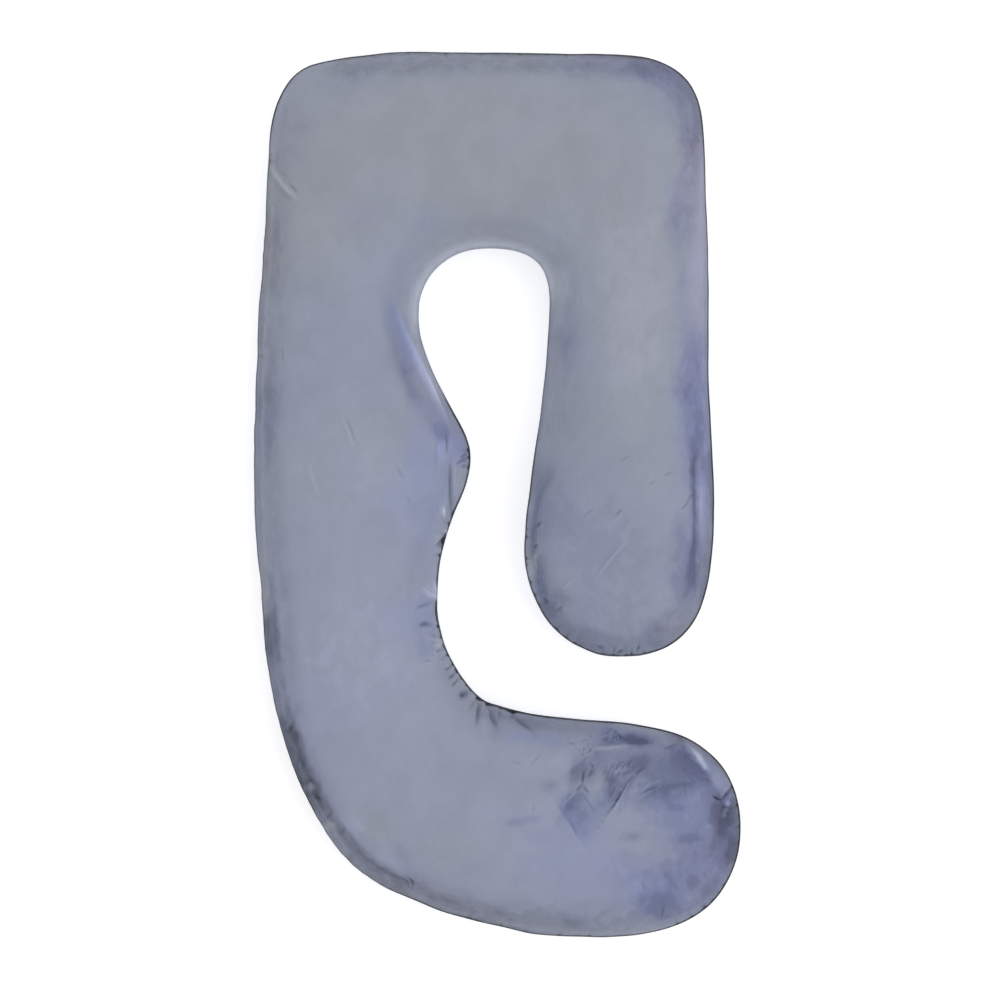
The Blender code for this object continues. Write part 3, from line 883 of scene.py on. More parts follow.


# --- nap ----------------------------------------------------------------------------------

# Patches of brushed, tinted pile, and of painted highlights and painted shade beside folds,
# creases and the rim. Columns: place, x mm, y mm, half length mm, half width mm, turn in
# degrees, and how much lighter, bluer and more violet it is.
PATCHES = (
    ("head", -25, 504, 336, 139, 0, 0, -0.21, 0),
    ("neck_right", 194, 285, 80, 161, 0, 0.06, -0.15, 0.05),
    ("neck_left", -274, 417, 73, 110, 0, 0, -0.15, 0),
    ("left_arm", -223, -212, 110, 220, -85, 0.06, 0.03, 0),
    ("left_arm_blue", -120, 0, 56, 66, 0, 0, 0.16, 0.03),
    ("waist_blue", -120, -183, 47, 35, -10, -0.05, 0.16, 0.03),
    ("foot_blue", 209, -534, 176, 88, 0, -0.02, 0.12, 0.05),
    ("sole_grey", 4, -629, 190, 23, -6, -0.12, -0.1, 0),
    ("head_right_end", 180, 630, 124, 23, -3, -0.1, 0.14, 0.1),
    ("head_right_corner", 256, 589, 35, 50, 0, -0.08, 0.06, 0.2),
    ("head_right_side", 288, 504, 19, 53, 0, -0.14, 0.1, 0.26),
    ("head_spot", -105, 402, 32, 23, 0, -0.04, 0.14, 0.1),
    ("head_top_spot", -212, 610, 44, 13, 30, -0.04, 0.1, 0),
    ("head_blush", -204, 412, 26, 18, 0, -0.02, 0, 0.35),
    ("head_left", -303, 534, 32, 38, 0, -0.08, 0, 0.2),
    ("head_streak", -318, 461, 35, 6, -50, 0.22, -0.1, 0),
    ("side_shade_high", 268, 414, 25, 56, 0, -0.15, 0.18, 0.12),
    ("side_light_high", 298, 332, 9, 85, 0, 0.08, 0, 0.38),
    ("side_shade_middle", 275, 300, 13, 41, 0, -0.07, 0.1, 0.15),
    ("side_band_high", 285, 209, 25, 53, 0, -0.09, 0.18, 0.14),
    ("side_band_blue", 290, 117, 29, 85, 0, -0.22, 0.26, 0.08),
    ("side_band_spot", 272, 156, 13, 18, 0, -0.12, 0.21, 0.25),
    ("side_gleam", 303, -3, 6, 47, 0, 0.3, 0.05, 0.05),
    ("side_line", 294, -28, 5, 58, 0, -0.18, 0.16, 0.08),
    ("side_line_low", 288, -95, 9, 38, -4, -0.16, 0.16, 0.05),
    ("side_wash", 273, -90, 19, 58, -3, -0.17, 0.14, 0.06),
    ("arm_bright", 200, 256, 35, 110, 0, 0.07, -0.05, 0.1),
    ("arm_spot", 92, 219, 12, 25, 0, -0.14, 0.06, 0),
    ("arm_spot_wash", 95, 219, 23, 38, 0, -0.05, 0.05, 0),
    ("inner_patch_high", 70, 19, 9, 26, -25, -0.2, 0.1, 0),
    ("inner_patch", 57, -25, 8, 40, -16, -0.13, 0.08, 0),
    ("inner_patch_low", 50, -66, 6, 29, -8, -0.14, 0.03, 0),
    ("inner_strip", 64, -125, 9, 35, 12, -0.2, 0.12, 0),
    ("inner_corner", 80, -169, 16, 12, -45, -0.18, 0.03, 0.05),
    ("inner_wash", 92, -37, 35, 67, -8, -0.06, 0.07, 0),
    ("inner_dab", 51, -103, 6, 19, -5, 0.26, -0.3, 0),
    ("tip_corner", 260, -195, 19, 19, 0, 0.05, -0.1, 0.25),
    ("tip_speckle", 92, -154, 18, 13, 0, -0.14, 0.03, 0),
    ("bump_shade", -136, 212, 13, 67, 18, -0.05, 0.24, 0.1),
    ("bump_shade_dark", -126, 177, 10, 26, 15, -0.1, 0.03, 0.2),
    ("bump_shade_low", -116, 136, 13, 20, 20, -0.14, 0.17, 0.25),
    ("bump_shade_tip", -81, 92, 10, 18, 20, -0.15, 0.2, 0),
    ("bump_gleam", -111, 183, 3, 76, 24, 0.12, 0.05, 0.05),
    ("bump_gleam_bright", -89, 142, 2, 38, 25, 0.52, -0.1, 0),
    ("bump_face", -95, 168, 12, 73, 26, -0.06, 0.03, 0.2),
    ("bump_block_light", -81, 61, 7, 19, 0, 0.1, 0.24, 0.15),
    ("bump_end", -60, 68, 15, 29, 10, 0.05, 0.26, 0.12),
    ("bump_end_dark", -45, 58, 6, 10, 0, -0.16, 0.21, 0),
    ("bump_low_light", -51, 25, 6, 18, -18, 0.12, -0.1, 0),
    ("waist_line", -66, 4, 4, 38, 0, -0.22, 0.07, 0),
    ("waist_white", -78, -25, 2, 7, 0, 0.6, -0.2, 0),
    ("waist_white_low", -76, -57, 4, 6, -20, 0.7, -0.3, 0),
    ("waist_dark", -79, -66, 3, 9, -30, -0.35, 0, 0),
    ("star_white", -97, -145, 13, 2, -43, 0.4, 0, 0),
    ("knee_dark", -103, -190, 12, 4, -8, -0.16, 0.12, 0),
    ("knee_white", -82, -220, 7, 7, 0, 0.36, -0.2, 0),
    ("knee_wash", -107, -230, 13, 13, 0, -0.09, 0.16, 0),
    ("knee_pit_dark", -48, -290, 9, 6, -30, -0.22, 0, 0),
    ("left_band_high", -338, 139, 13, 76, 0, -0.14, 0.03, 0),
    ("left_band_dark", -344, 92, 9, 32, 0, -0.05, 0.07, 0),
    ("left_band_tail", -335, -204, 10, 38, 5, -0.24, 0, 0.06),
    ("left_rim_light", -347, -139, 4, 41, 3, 0.24, -0.2, 0),
    ("heel_facet_a", -280, -432, 7, 6, 0, 0.3, -0.2, 0),
    ("heel_facet_b", -249, -489, 7, 6, 30, 0.3, -0.3, 0),
    ("heel_gleam", -212, -477, 9, 26, 36, 0.08, 0, 0),
    ("heel_inner_spot", -142, -528, 15, 22, 30, -0.1, 0.03, 0),
    ("heel_inner_grey", -174, -487, 23, 20, 0, -0.03, -0.12, 0),
    ("crook_band", 48, -354, 56, 10, -8, -0.04, 0.21, 0),
    ("mouth_edge", 92, -337, 91, 10, -8, -0.11, 0, 0),
    ("crook_shade_right", 32, -328, 26, 6, -34, -0.04, 0.1, 0),
    ("foot_top_patch", 168, -353, 22, 12, 4, -0.18, 0.24, -0.25),
    ("foot_top_dark", 206, -357, 23, 10, -6, -0.42, 0.38, -0.05),
    ("crumple_upper", 174, -394, 53, 29, 0, -0.26, 0.13, -0.36),
    ("crumple_left_high", 121, -406, 16, 19, -20, -0.22, 0.06, -0.25),
    ("crumple_pale", 139, -422, 13, 10, 10, 0.08, -0.08, 0),
    ("crumple_core", 167, -432, 20, 20, 20, -0.34, 0.15, -0.36),
    ("crumple_middle", 148, -451, 15, 19, 0, -0.14, 0.12, -0.25),
    ("crumple_left", 108, -452, 28, 13, 55, -0.2, 0.11, -0.3),
    ("crumple_left_low", 127, -476, 19, 19, 0, -0.15, 0.12, -0.1),
    ("crumple_wing_wash", 227, -432, 41, 13, 10, -0.18, 0.12, 0),
    ("foot_end_wash", 297, -473, 67, 120, 0, -0.27, 0.26, 0.08),
    ("foot_end_dark", 282, -395, 38, 13, -42, -0.08, 0.2, 0),
    ("foot_side_dark", 329, -468, 16, 29, -8, -0.3, 0.38, 0.04),
    ("foot_side_low", 329, -520, 19, 29, -4, -0.12, 0.18, 0.06),
    ("foot_side_tail", 328, -502, 10, 23, -6, -0.1, 0.14, 0.04),
    ("foot_shade_middle", 241, -400, 56, 34, 0, -0.29, 0.11, 0),
    ("foot_gleam", 297, -388, 3, 16, 37, 0.9, -0.4, 0),
    ("foot_gleam_high", 282, -372, 3, 12, 42, 0.28, -0.1, 0),
    ("foot_pocket", 323, -420, 12, 18, 35, 0.12, -0.02, 0.12),
    ("foot_right_dab", 338, -452, 4, 5, -20, 0.65, -0.1, 0.1),
    ("foot_right_dab_low", 335, -464, 3, 7, -20, 0.35, 0, 0.1),
    ("foot_small_dab", 311, -487, 6, 2, 0, 0.25, 0, 0),
    ("foot_low_dark", 244, -599, 35, 26, -10, -0.18, 0.16, 0),
    ("foot_low_wash", 234, -581, 58, 35, 10, -0.13, 0.19, 0),
    ("foot_low_violet", 297, -564, 35, 44, 0, -0.12, 0.07, 0.18),
    ("foot_cloud", 187, -546, 44, 23, 0, -0.09, 0.12, 0.05),
    ("foot_mark_a", 276, -502, 22, 7, 0, -0.16, 0.06, 0),
    ("foot_mark_b", 193, -499, 18, 7, 10, -0.15, 0.05, 0),
    ("foot_mark_c", 39, -474, 26, 7, 14, -0.14, 0.17, 0.05),
    ("foot_mark_d", 76, -426, 13, 9, 0, -0.14, 0, 0.1),
    ("foot_mark_e", 69, -499, 13, 9, 0, -0.05, 0.07, 0.15),
    ("foot_light", 231, -520, 44, 29, 0, 0.04, -0.1, 0),
    ("foot_light_left", 70, -388, 53, 23, 0, 0.05, 0, 0),
    ("sole_speckle", 114, -625, 23, 13, -20, -0.12, 0.07, 0.05),
    ("left_light_high", -340, 344, 15, 38, 0, 0.06, -0.12, 0),
    ("hollow_right_light", 88, 303, 13, 35, 0, 0.16, -0.1, 0),
    ("arm_low_wash", 165, -95, 91, 139, 0, -0.08, 0.05, 0),
    ("crumple_under", 244, -455, 40, 12, -4, -0.17, 0.14, 0),
    ("heel_streak", -212, -502, 6, 38, 38, 0.07, 0.03, 0),
    ("foot_gleam_dot", 304, -400, 2, 4, 36, 0.35, -0.2, 0),
    ("bump_inner_blue", -107, 80, 29, 53, 0, -0.02, 0.14, 0.04),
    ("waist_inner_blue", -107, -95, 23, 53, 0, -0.01, 0.1, 0.02),
    ("tip_dark_right", 231, -195, 26, 9, 42, -0.12, 0.02, 0),
    ("tip_dark_left", 136, -201, 23, 9, -30, -0.1, 0.02, 0),
    ("star_ray_high", -92, -139, 15, 2, -81, 0.34, 0, 0),
    ("star_ray_middle", -97, -139, 13, 2, -62, 0.26, 0, 0),
    ("star_shade", -107, -160, 13, 9, -10, -0.08, 0.16, 0.03),
    ("left_mid_light", -223, 22, 88, 102, -80, 0.04, 0, 0),
    ("heel_light", -142, -359, 88, 73, -20, 0.03, 0.02, 0),
    ("heel_dark", -256, -464, 13, 22, 36, -0.04, 0, 0),
    ("heel_pale_low", -168, -547, 13, 23, 52, 0.09, 0.03, 0),
    ("arm_side_wash", 271, -90, 13, 61, 0, -0.08, 0, 0),
    ("arm_inner_pale", 69, 11, 9, 29, -8, 0.08, -0.05, -0.05),
    ("side_shade_lower", 301, 89, 9, 53, 0, -0.07, -0.03, 0),
)

# Folds with a shaded side. Columns: place, start x, start y, end x, end y, bow to its left and
# width of the shade on its left, in mm, and how much lighter, bluer and more violet it is.
FLANKS = (
    ("bump_flank", -70, 95, -148, 273, 0, 13, -0.12, 0.1, 0.05),
    ("crumple_side_a", 129, -384, 107, -400, 0, 22, -0.14, 0, 0),
    ("crumple_side_b", 107, -400, 102, -436, 0, 19, -0.1, 0.03, 0),
    ("crumple_side_c", 114, -436, 93, -464, 0, 26, -0.1, 0.06, 0),
    ("crumple_side_d", 93, -464, 115, -498, 0, 23, -0.14, 0.14, 0),
    ("crumple_spine_flank", 162, -468, 216, -397, -1.5, 19, -0.1, 0.03, 0),
    ("crumple_wing_flank", 282, -420, 209, -444, -7.3, 20, -0.1, 0.03, 0),
    ("foot_end_flank", 329, -447, 278, -365, -4.4, 26, -0.16, 0.1, 0.05),
    ("foot_side_flank", 320, -523, 333, -445, -1.5, 20, -0.05, 0.07, 0.15),
    ("foot_top_flank", 153, -366, 227, -365, 1.5, 13, -0.18, 0.07, 0),
    ("side_flank", 292, -130, 295, 48, 0, 12, -0.15, 0.12, 0.04),
)

# Bands of painted shade and painted light that follow the seam, some also sunken and tinted.
# Columns: place, first x, first y, last x, last y going clockwise, distance in from the seam, half
# width and rise, all in mm, and how much lighter, bluer and more violet the pile is.
BANDS = (
    ("head_edge", -244, 636, 209, 641, 0, 6, 0, -0.34, 0, 0),
    ("head_band", -244, 636, 238, 636, 13, 20, 0, -0.2, 0, 0),
    ("corner_left_edge", -335, 519, -244, 639, 0, 15, 0, -0.06, 0, 0),
    ("corner_right_edge", 227, 639, 303, 534, 0, 12, 0, -0.24, 0.06, 0.03),
    ("corner_right_band", 192, 641, 306, 504, 18, 20, 0, -0.22, 0.1, 0.08),
    ("side_band_high", 303, 526, 307, 241, 6, 38, 0, -0.05, 0, 0.15),
    ("side_rim", 311, 58, 314, -154, 3, 19, 0, -0.36, 0.12, 0.06),
    ("side_band", 307, 241, 311, 22, 18, 19, 0, -0.14, 0.2, 0.1),
    ("side_trough", 309, 80, 316, -95, 25, 7, -1.6, 0, 0.1, 0.1),
    ("side_ridge", 309, 66, 316, -66, 13, 5, 1, 0, 0.05, 0.05),
    ("side_line", 314, 58, 314, -139, 28, 5, -0.6, -0.12, 0.1, 0.05),
    ("tip_right", 314, -139, 231, -234, 6, 35, 0, -0.26, 0, 0.05),
    ("tip_end", 231, -234, 114, -220, 15, 15, -2, -0.05, 0.03, 0),
    ("tip_left", 114, -220, 55, -169, 13, 10, -1.5, -0.06, 0.03, 0),
    ("inner_low", 55, -169, 44, -95, 13, 9, -2, -0.08, 0.1, 0),
    ("inner_trough", 44, -95, 70, 29, 9, 6, -1.4, -0.1, 0.08, 0),
    ("inner_rim", 48, -139, 63, -8, 4, 4, 1, 0.34, -0.1, 0),
    ("inner_light", 70, 51, 76, 300, 4, 20, 0, 0.17, -0.1, 0),
    ("hollow_rim", 76, 300, -114, 241, 0, 12, 0, 0.55, -0.15, 0),
    ("hollow_band", 76, 300, -114, 241, 38, 10, 0, -0.03, 0, 0),
    ("hollow_inside", 76, 300, -114, 241, 7, 19, 0, 0.12, -0.1, 0),
    ("inner_left_rim", -114, 241, -84, 139, 3, 15, 0, 0.26, -0.1, 0),
    ("knee_band", -88, -154, -84, -242, 12, 15, -1, 0.1, 0.03, 0),
    ("waist_rim", -40, 51, -84, -154, 6, 18, 0, 0.15, -0.05, 0),
    ("foot_rim_high", 238, -340, 341, -417, 0, 13, 0, -0.22, -0.05, 0),
    ("foot_rim_right", 347, -432, 352, -549, 3, 19, 0, -0.44, 0.12, 0.05),
    ("foot_rim_low", 352, -549, 268, -634, 4, 20, 0, -0.22, 0.05, 0.1),
    ("sole_band", 268, -634, 34, -637, 12, 38, 0, -0.16, 0, 0),
    ("heel_low_band", 34, -637, -142, -583, 7, 29, -2, -0.2, 0, 0.05),
    ("heel_low_core", -62, -615, -157, -575, 16, 9, -2, -0.1, 0, 0.15),
    ("heel_core", -142, -583, -266, -458, 15, 12, -3, -0.4, 0.03, 0.1),
    ("heel_inner", -120, -593, -266, -458, 31, 13, 0, -0.04, 0.06, 0.05),
    ("heel_rim", -127, -588, -244, -490, 3, 7, 0.4, -0.06, -0.05, 0.03),
    ("heel_core_high", -266, -458, -312, -332, 10, 14, -3, -0.6, 0.05, 0.08),
    ("heel_inner_high", -266, -458, -325, -322, 25, 15, 0, -0.09, 0.05, 0.05),
    ("left_core", -323, -332, -345, -110, 9, 10, -3, -0.28, 0.04, 0.03),
    ("left_inner", -323, -332, -345, -110, 29, 18, 0, -0.16, 0, 0),
    ("left_band", -345, -110, -351, 219, 18, 22, -2, -0.1, 0, 0),
    ("left_core_high", -353, 36, -350, 161, 12, 9, -1.6, -0.06, 0.05, 0),
    ("left_band_high", -351, 219, -335, 504, 3, 32, 0, -0.15, 0, 0.05),
    ("corner_shade", -341, 300, -337, 417, 12, 12, -2.5, -0.1, -0.1, 0.1),
    ("crook_rim", -32, -300, 70, -324, 7, 15, 0, -0.13, 0.03, 0),
)

# Painted shadow line on the sewn edge along the seam, and painted light where the darkness is
# negative. Columns: place, first x, first y, last x, last y going clockwise, in mm, and the
# darkness.
EDGES = (
    ("corner_left", -335, 534, -244, 639, 0.75),
    ("head", -244, 639, 209, 643, 0.2),
    ("corner_right", 209, 643, 303, 534, 0.75),
    ("side_high", 303, 534, 310, 124, 0.35),
    ("side", 310, 124, 314, -154, 0.8),
    ("tip_right", 314, -154, 238, -230, 0.7),
    ("tip", 238, -230, 114, -220, 0.35),
    ("tip_left", 114, -220, 44, -117, 0.28),
    ("inner", 44, -117, 73, 80, 0.45),
    ("bump", -84, 139, -40, 58, 0.7),
    ("waist", -40, 58, -88, -190, 0.7),
    ("knee", -88, -190, -25, -305, 0.7),
    ("crook", -25, -305, 63, -321, 0.5),
    ("mouth", 63, -321, 209, -332, 0.48),
    ("foot_high", 209, -332, 348, -435, 0.95),
    ("foot_right", 348, -435, 333, -571, 0.8),
    ("foot_low", 333, -571, 253, -637, 0.75),
    ("sole", 253, -637, 4, -625, 0.35),
    ("heel_low", 4, -625, -142, -583, 0.5),
    ("heel", -142, -583, -303, -388, 0.08),
    ("left", -303, -388, -335, 534, 0.02),
    ("hollow", 76, 300, -114, 241, -0.35),
    ("inner_high", 73, 80, 76, 300, -0.12),
    ("inner_left", -114, 241, -84, 139, -0.15),
)

# Crumpled places, where fine sharp wrinkles lie close together, drawn as a bump and as painted
# light and dark lines. Columns: place, x mm, y mm, half length mm, half width mm, turn in
# degrees and strength.
CRUMPLES = (
    ("hatch", 174, -400, 26, 14, 0, 1.0),
    ("brush", 130, -376, 12, 13, 0, 0.8),
    ("curl", 136, -401, 12, 13, 0, 0.7),
    ("spine_foot", 174, -452, 10, 16, 0, 0.8),
    ("spine_side", 203, -425, 12, 12, 0, 0.6),
    ("foot_top", 167, -354, 19, 12, 0, 0.8),
    ("middle", 165, -432, 23, 18, 0, 0.35),
    ("knee", -86, -230, 10, 28, 12, 0.7),
    ("short_arm_inner", 55, -98, 8, 50, 0, 0.8),
    ("short_arm_corner", 86, -171, 16, 12, -40, 0.8),
    ("short_arm_tip", 180, -228, 60, 6, 0, 0.7),
    ("foot_end", 345, -446, 8, 18, 0, 0.7),
)

# Point attributes for the pile's tints, its painted highlights and shade, and its crumpled places.
TINTS = ("nap_light", "nap_blue", "nap_violet", "fold_light", "crumple")

# A patch's edge: its sharpness, its unevenness as noise widths and shifts in metres, and the
# half width in millimetres below which the shift shrinks.
PATCH_EDGE = 1.5
WANDER_WIDTHS = (0.060, 0.018)
WANDER_SHIFTS = (0.008, 0.006)
STEADY_WIDTH = 12

# The same for a band. Its ends are soft over this many of the seam's points.
BAND_EDGE = 1.5
BAND_WIDTHS = (0.035, 0.012)
BAND_SHIFTS = (0.0035, 0.0020)
STEADY_BAND = 8
SOFT_END = 6

# Rises in metres that give the pile a full painted highlight, and how many times as far a crease's
# painted shade reaches.
SOFT_SCALE = 0.005
CRISP_SCALE = 0.0018
DEEPEST_CREASE = -1.6

# How much bluer a darker pile is.
DARK_BLUE = 0.24


def wander(plan):
    """A small uneven shift of each point, which gives a patch an uneven edge."""
    noise.seed_set(SEED)
    shift = np.empty_like(plan)
    for index, (x, y) in enumerate(plan):
        place = Vector((x, y, 0))
        broad = noise.noise_vector(place / WANDER_WIDTHS[0]) * WANDER_SHIFTS[0]
        fine = noise.noise_vector(place / WANDER_WIDTHS[1]) * WANDER_SHIFTS[1]
        shift[index] = (broad + fine)[:2]
    return shift


def oval(places, shift, x, y, half_length, half_width, turn):
    """Strength of an oval patch at each point. A wide one has an uneven edge."""
    angle = math.radians(turn)
    offset = places + shift * min(1, min(half_length, half_width) / STEADY_WIDTH) - (x, y)
    along = offset @ (math.cos(angle), math.sin(angle)) / half_length
    across = offset @ (-math.sin(angle), math.cos(angle)) / half_width
    return np.exp(-(along ** 2 + across ** 2) ** PATCH_EDGE)


def flank_lines():
    """The lines of the shaded folds, with each shade's width and tints."""
    return [
        (Line((x0 * MM, y0 * MM), (x1 * MM, y1 * MM), bow * MM, MM, 0.0), width * MM, *amounts)
        for _, x0, y0, x1, y1, bow, width, *amounts in FLANKS
    ]


def nap_tints_and_painted_light(cover, rim, soft, crisp, colours):
    """How light, blue, violet, shaded by folds and crumpled the pile is at every point.

    The patches and bands come from their tables, with painted highlights and shade among the
    tints, and a darker one is also bluer. Painted shade darkens the pile beside the seam, on its
    sewn edge and in folds and creases, and painted highlights lighten it along ridges.
    """
    shown = cover.side >= 0
    places = cover.plan / MM
    shift = wander(cover.plan) / MM
    patches = np.zeros((3, len(places)))
    for _, *place, light, blue, violet in PATCHES:
        patches += np.outer((light, blue, violet), shown * oval(places, shift, *place))
    for _, *place, _, light, blue, violet in BANDS:
        patches += np.outer((light, blue, violet), rim.band(*place))
    flanks = np.zeros((3, len(places)))
    for line, width, *amounts in flank_lines():
        flanks += np.outer(amounts, shown * line.flank(cover.plan, width))
    light, blue, violet = patches
    # Painted shade in troughs, creases, shaded flanks and beside the seam, and painted highlights on
    # swells and crease lips.
    fold = flanks[0] + colours.fold_shade * np.clip(soft / SOFT_SCALE, -1, 1)
    fold += colours.crease_shade * np.clip(crisp / CRISP_SCALE, DEEPEST_CREASE, 1)
    fold -= colours.seam_shade * np.exp(-(rim.seam_gap / colours.seam_shade_width) ** 2)
    # Painted shadow line on the sewn edge, lightened instead where its darkness is negative.
    edge = sum(darkness * rim.along(*place) for _, *place, darkness in EDGES)
    fold -= shown * edge * np.exp(-(rim.seam_gap / colours.edge_shadow_width) ** 4)
    blue += flanks[1] - DARK_BLUE * np.minimum(flanks[0], 0)
    crumple = sum(most * oval(places, shift, *place) for _, *place, most in CRUMPLES)
    return light, blue, violet + flanks[2], fold, shown * np.minimum(crumple, 1)


# --- nodes --------------------------------------------------------------------------------

NOISE_SPREAD = 2.6


class Link:
    """An output socket. Sums written with it add Math nodes."""

    def __init__(self, nodes, socket):
        self.nodes = nodes
        self.socket = socket

    def worked(self, operation, *others):
        """The result of one Math node on this value and the others."""
        return self.nodes.math(operation, self, *others)

    def __add__(self, other):
        return self.worked("ADD", other)

    def __mul__(self, other):
        return self.worked("MULTIPLY", other)

    def __sub__(self, other):
        return self.worked("SUBTRACT", other)

    def __rsub__(self, other):
        return self.nodes.math("SUBTRACT", other, self)

    def __truediv__(self, other):
        return self.worked("DIVIDE", other)

    def __rtruediv__(self, other):
        return self.nodes.math("DIVIDE", other, self)

    def __pow__(self, other):
        return self.worked("POWER", other)

    def __abs__(self):
        return self.worked("ABSOLUTE")

    __radd__ = __add__
    __rmul__ = __mul__


class Nodes:
    """A node tree that is written as calls."""

    def __init__(self, tree):
        self.tree = tree
        tree.nodes.clear()

    def add(self, kind, settings=None, inputs=None, output=0):
        """Add a node: first its settings, then the values or links of its sockets."""
        node = self.tree.nodes.new(kind)
        for name, value in (settings or {}).items():
            setattr(node, name, value)
        for name, value in (inputs or {}).items():
            if isinstance(value, Link):
                self.tree.links.new(value.socket, node.inputs[name])
            else:
                node.inputs[name].default_value = value
        return Link(self, node.outputs[output]) if node.outputs else None

    def math(self, operation, *terms):
        """The result of one Math node on the given terms."""
        return self.add("ShaderNodeMath", {"operation": operation}, dict(enumerate(terms)))

    def stepped(self, value, low, high):
        """0 below low, 1 above high and an even curve between."""
        return self.add(
            "ShaderNodeMapRange", {"interpolation_type": "SMOOTHSTEP"},
            {"Value": value, "From Min": low, "From Max": high},
        )

    def mixed(self, share, first, second):
        """A colour between two colours."""
        return self.add(
            "ShaderNodeMix", {"data_type": "RGBA"}, {0: share, 6: first, 7: second}, output=2
        )

    def scaled(self, vector, amount):
        """A vector or colour times a number."""
        return self.add(
            "ShaderNodeVectorMath", {"operation": "SCALE"}, {"Vector": vector, "Scale": amount}
        )

    def noise(self, place, scale, detail=2.0, roughness=0.5):
        """Noise around 0, from about -1 to 1."""
        value = self.add(
            "ShaderNodeTexNoise", None,
            {"Vector": place, "Scale": scale, "Detail": detail, "Roughness": roughness},
        )
        return (value - 0.5) * NOISE_SPREAD

    def raised(self, height, strength, distance, normal=None):
        """A normal that stands up with the height, on top of another normal."""
        inputs = {"Strength": strength, "Distance": distance, "Height": height}
        if normal:
            inputs["Normal"] = normal
        return self.add("ShaderNodeBump", None, inputs)

    def streaks(self, place, shift, turn, length):
        """Coordinates for long marks that lie at that turn from straight along the pillow."""
        return self.add(
            "ShaderNodeMapping", {"vector_type": "TEXTURE"},
            {"Vector": place, "Location": shift, "Rotation": (0, 0, math.radians(turn)),
             "Scale": (1, length, 1)},
        )

    def placed(self, place, shift, turn=0):
        """Coordinates turned by degrees about Z and moved, so that patterns differ."""
        return self.add(
            "ShaderNodeMapping", None,
            {"Vector": place, "Location": shift, "Rotation": (0, 0, math.radians(turn))},
        )


def pucker_tree():
    """Geometry nodes that draw the cloth into small gathers along the seam."""
    tree = bpy.data.node_groups.new("seam_puckers", "GeometryNodeTree")
    for name, kind in (
        ("Geometry", "NodeSocketGeometry"), ("Depth", "NodeSocketFloat"),
        ("Spacing", "NodeSocketFloat"), ("Reach", "NodeSocketFloat"),
        ("Seed", "NodeSocketFloat"), ("Velvet", "NodeSocketMaterial"),
    ):
        tree.interface.new_socket(name, in_out="INPUT", socket_type=kind)
    tree.interface.new_socket("Geometry", in_out="OUTPUT", socket_type="NodeSocketGeometry")
    nodes = Nodes(tree)
    given = tree.nodes.new("NodeGroupInput")
    depth, spacing, reach, seed = (
        Link(nodes, given.outputs[name]) for name in ("Depth", "Spacing", "Reach", "Seed")
    )
    place = nodes.add(
        "GeometryNodeInputNamedAttribute", {"data_type": "FLOAT_VECTOR"}, {"Name": "seam_place"}
    )
    gap = nodes.add("GeometryNodeInputNamedAttribute", {"data_type": "FLOAT"}, {"Name": "seam_gap"})
    gather = nodes.add("GeometryNodeInputNamedAttribute", {"data_type": "FLOAT"}, {"Name": "gather"})
    wave = nodes.add(
        "ShaderNodeTexNoise", {"noise_dimensions": "4D"},
        {"Vector": place, "W": seed, "Scale": 1 / spacing, "Detail": 1.5, "Roughness": 0.45},
    )
    share = gap / reach
    falling = (1 - share).worked("EXPONENT")
    rise = (wave - 0.5) * 2 * depth * share * falling * gather
    normal = nodes.add("GeometryNodeInputNormal")
    moved = nodes.add(
        "GeometryNodeSetPosition", None,
        {"Geometry": Link(nodes, given.outputs["Geometry"]), "Offset": nodes.scaled(normal, rise)},
    )
    real = nodes.add("GeometryNodeRealizeInstances", None, {"Geometry": moved})
    dressed = nodes.add(
        "GeometryNodeSetMaterial", None,
        {"Geometry": real, "Material": Link(nodes, given.outputs["Velvet"])},
    )
    nodes.add("NodeGroupOutput", None, {"Geometry": dressed})
    return tree


def puckered(pillow, velvet, sizes):
    """Run the seam's puckers over the pillow and keep the result as a plain mesh."""
    tree = pucker_tree()
    modifier = pillow.modifiers.new("seam_puckers", "NODES")
    modifier.node_group = tree
    wanted = {
        "Depth": sizes.pucker_depth, "Spacing": sizes.pucker_spacing,
        "Reach": sizes.pucker_reach, "Seed": float(SEED), "Velvet": velvet,
    }
    for item in tree.interface.items_tree:
        if item.in_out == "INPUT" and item.name in wanted:
            modifier[item.identifier] = wanted[item.name]
    bpy.context.view_layer.update()
    graph = bpy.context.evaluated_depsgraph_get()
    finished = bpy.data.meshes.new_from_object(
        pillow.evaluated_get(graph), preserve_all_data_layers=True, depsgraph=graph
    )
    rough = pillow.data
    pillow.modifiers.clear()
    pillow.data = finished
    finished.name = pillow.name
    bpy.data.meshes.remove(rough)
    bpy.data.node_groups.remove(tree)


# Strokes that a hand or brush leaves in the pile, in three directions. Columns: shift of the
# pattern, turn in degrees, length for its width, and scale.
STROKES = (
    ((0.0, 0.0, 0.0), 8, 3.6, 62.0),
    ((4.0, 1.0, 2.0), -34, 4.2, 48.0),
    ((9.0, 6.0, 3.0), 52, 3.3, 55.0),
)

# Patches fall into washes with crisp, brushed borders: how ragged a border may be, how far
# strokes and dabs fray it, how many washes there are, and the share of the smooth patch kept.
RAGGED = 0.16
FRAYED = 0.9
WASHES = 6
SMOOTH_SHARE = 0.25

# How far the noise patterns bend the tints' edges and change tone, blue, violet and roughness,
# and what plain pile has.
WARP = 0.05
DAB_TONE = 0.010
PILE_TONE = 0.03
DARKEST_TONE = 0.06
BLUE_DRIFT = 0.12
PLAIN_BLUE = 0.30
VIOLET_BLUSH = 0.16
PLAIN_VIOLET = 0.10
STROKE_ROUGHNESS = 0.05
PLAIN_ROUGHNESS = 0.82


